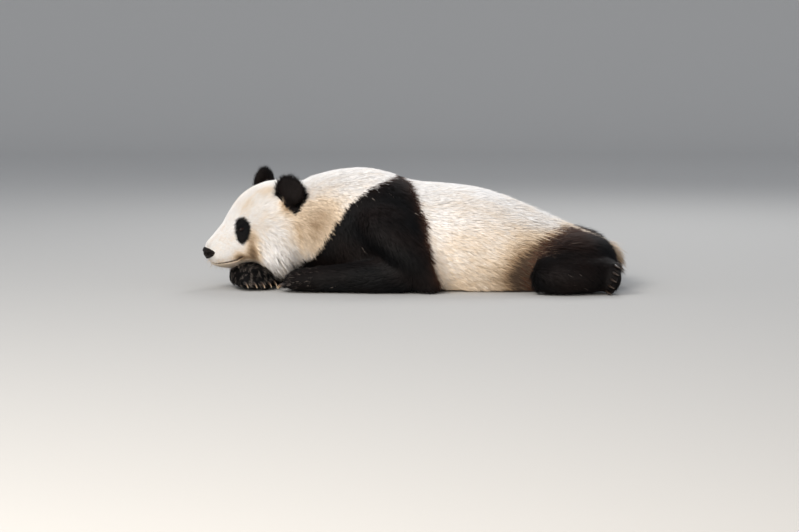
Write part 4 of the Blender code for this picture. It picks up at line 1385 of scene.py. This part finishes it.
# a dark brown bear's eye: black pupil, brown iris with fine fibres, black rim, under a wet clear film
def wetEye():
    material, add, shader, (away, turned) = newMaterial("wetEye", "fromPupil", "roundPupil")
    fibre = add("CombineXYZ", {"Z": 0.0}, {"X": turned, "Y": away})[0]
    stretched = add("Mapping", {"Scale": (14.0, 1.5, 1.0)}, {"Vector": fibre})[0]
    strands = add("TexNoise", {"Scale": 1.0, "Detail": 3.0}, {"Vector": stretched})["Fac"]
    iris = add("Mix", {"data_type": "RGBA", 6: "#0C0604", 7: "#24140B"}, {"Factor": strands})[2]
    outward = add("MapRange", {"From Max": 1.6}, {"Value": away})[0]
    rings = {0: "#000000", 0.17: "#000000", 0.20: "#FFFFFF", 0.40: "#FFFFFF", 0.44: "#100A08", 1: "#241C19"}
    ringed = add("ValToRGB", {"ramp": rings}, {"Fac": outward})[0]
    both = {"data_type": "RGBA", "blend_type": "MULTIPLY", "Factor": 1.0}
    film = {"Specular IOR Level": 0.35, "Coat Weight": 0.12, "Coat Roughness": 0.02}
    colour = add("Mix", both, {6: ringed, 7: iris})[2]
    setNode(shader, {"Roughness": 0.05, "IOR": 1.376, **film}, {"Base Color": colour})
    return material


# bare leather of a bear's nose: black-brown, pebbled in cells about 1.6 mm across, a little damp
def noseSkin():
    material, add, shader, _ = newMaterial("pebbledNoseLeather")
    place = add("TexCoord", {})["Object"]
    pebble = add("TexVoronoi", {"Scale": 1 / 0.0016}, {"Vector": place})["Distance"]
    cloud = add("TexNoise", {"Scale": 60.0, "Detail": 3.0}, {"Vector": place})["Fac"]
    colour = add("Mix", {"data_type": "RGBA", 6: "#060404", 7: "#1B1310"}, {"Factor": cloud})[2]
    bumpy = {"Strength": 0.55, "Distance": 0.0005, "invert": True}
    raised = add("Bump", bumpy, {"Height": pebble})["Normal"]
    rough = add("MapRange", {"To Min": 0.36, "To Max": 0.60}, {"Value": cloud})[0]
    links = {"Base Color": colour, "Normal": raised, "Roughness": rough}
    setNode(shader, {"Specular IOR Level": 0.14}, links)
    return material


def clawHorn():  # keratin: brown-black at the toe, worn to amber grey at the point, in fine lengthwise layers
    material, add, shader, (along,) = newMaterial("clawHorn", "along")
    place = add("TexCoord", {})["Object"]
    grain = add("TexNoise", {"Scale": 320.0, "Detail": 3.0}, {"Vector": place})["Fac"]
    worn = {0.0: "#1E1611", 0.45: "#3C2E23", 0.80: "#8A7257", 1.0: "#D0BFA4"}
    base = add("ValToRGB", {"ramp": worn}, {"Fac": along})[0]
    shade = add("MapRange", {"To Min": 0.75, "To Max": 1.2}, {"Value": grain})[0]
    colour = add("HueSaturation", {}, {"Color": base, "Value": shade})[0]
    raised = add("Bump", {"Strength": 0.3, "Distance": 0.0003}, {"Height": grain})["Normal"]
    setNode(shader, {"Roughness": 0.38, "IOR": 1.54}, {"Base Color": colour, "Normal": raised})
    return material


def padLeather():  # thick bare sole: dull grey-brown, with cracks between cells about 3 mm across
    material, add, shader, _ = newMaterial("callousedSolePad")
    place = add("TexCoord", {})["Object"]
    cracked = {"feature": "DISTANCE_TO_EDGE", "Scale": 1 / 0.0030}
    cells = add("TexVoronoi", cracked, {"Vector": place})["Distance"]
    dirt = add("TexNoise", {"Scale": 45.0, "Detail": 4.0}, {"Vector": place})["Fac"]
    colour = add("Mix", {"data_type": "RGBA", 6: "#120E0C", 7: "#332A25"}, {"Factor": dirt})[2]
    groove = add("MapRange", {"From Max": 0.12}, {"Value": cells})[0]
    raised = add("Bump", {"Strength": 0.5, "Distance": 0.0006}, {"Height": groove})["Normal"]
    setNode(shader, {"Roughness": 0.72}, {"Base Color": colour, "Normal": raised})
    return material


materials = {"white": creamFur(), "black": blackFur(), "skin": underSkin()}
bareParts = (
    (eyeballs, wetEye(), "eye"), ([nose], noseSkin(), "nose_leather"), (claws, clawHorn(), "claw"),
    (pads, padLeather(), "nose_leather"),
)
for pieces, material, slotName in bareParts:
    for piece in pieces:
        piece.data.materials.append(material)
        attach(piece, "root")
for colour, pieces in coatPieces.items():
    for piece in pieces:
        piece.data.materials.append(materials[colour])
        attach(piece, "root")

bareSkin = np.maximum(0.9 * ease(0.0080, 0.0035, lipAway), 0.45 * ease(0.20, 0.10, inSlit))
setAttribute(skin.data, "black", ease(-0.004, 0.004, skinBlack))
setAttribute(skin.data, "lip", bareSkin)
setAttribute(skin.data, "soil", soil(skinPoints))
setAttribute(skin.data, "rust", rust(skinPoints, skinNode))
skin.data.materials.clear()
skin.data.materials.append(materials["skin"])
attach(skin, "root")
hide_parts(*fleshNodes)
print("coat and skin finished")


# ---- floor, light and camera

studio = {
    "floor": "#AFAEAB", "air": "#EBF0FA", "airStrength": 0.77,
    # the floor's half width, its front edge, where and how widely it turns up, and the top of the wall
    "beside": 80, "front": -30, "bendAt": 11, "bend": 4, "top": 16,
    # place, what it shines at, size across, power and colour
    "lamps": {
        "key_light": ((-3.2, -4.3, 4.9), (0, 0, 0.15), 2.9, 262, "#FFFBF6"),
        "fill_light": ((-1.4, -7.0, 2.2), (0, 0, 0.15), 3.4, 262, "#FFF3E4"),
        "rim_light": ((1.2, 3.8, 3.8), (0, 0, 0.2), 2.4, 84, "#FFFFFF"),
    },
}


def stageFloor():  # one sheet: flat, then a quarter arc up, then a straight wall
    turn = np.linspace(0, math.pi / 2, 13)
    bendAt, bend = studio["bendAt"], studio["bend"]
    across = np.array((-1, 0, 1)) * studio["beside"]
    depth = np.concatenate([[studio["front"]], bendAt + bend * np.sin(turn), [bendAt + bend]])
    rise = np.concatenate([[0], bend - bend * np.cos(turn), [studio["top"]]])
    points = np.stack(np.broadcast_arrays(across[None], depth[:, None], rise[:, None]), -1).reshape(-1, 3)
    corners = [3 * i + j for i in range(len(depth) - 1) for j in range(2)]
    faces = [(corner, corner + 1, corner + 4, corner + 3) for corner in corners]
    floor = meshObject("studio_floor", points, faces)
    material, _, shader, _ = newMaterial("paintedStudioFloor")
    setNode(shader, {"Base Color": studio["floor"], "Roughness": 0.9}, {})
    floor.data.materials.append(material)


def aimed(obj, place, way):  # obj stands at that place and looks that way
    obj.location = place
    obj.rotation_mode = "QUATERNION"
    obj.rotation_quaternion = way.to_track_quat("-Z", "Y")


stageFloor()
for name, (place, aim, size, power, colour) in studio["lamps"].items():
    lamp = bpy.data.lights.new(name, "AREA")
    lamp.shape, lamp.size, lamp.energy, lamp.color = "DISK", size, power, linear(colour)[:3]
    aimed(sceneObject(name, lamp), place, Vector(aim) - Vector(place))
bpy.context.scene.view_settings.view_transform = "Standard"
world = bpy.data.worlds.new("studio_air")
bpy.context.scene.world = world
world.use_nodes = True
setNode(world.node_tree.nodes["Background"], {"Color": studio["air"], "Strength": studio["airStrength"]}, {})

cameraPlan = {
    "target": (-0.047, 0.0, 0.072), "elevation": 5, "distance": 9.0, "viewWidth": 2.876, "sensor": 36,
}
cameraData = bpy.data.cameras.new("camera")
cameraData.sensor_width = cameraPlan["sensor"]
cameraData.lens = cameraPlan["sensor"] * cameraPlan["distance"] / cameraPlan["viewWidth"]
cameraData.clip_end = 60
camera = sceneObject("camera", cameraData)
bpy.context.scene.camera = camera
elevation = math.radians(cameraPlan["elevation"])
back = Vector((0, -math.cos(elevation), math.sin(elevation)))
aimed(camera, Vector(placed(cameraPlan["target"])) + back * cameraPlan["distance"] * sizing["scale"], -back)
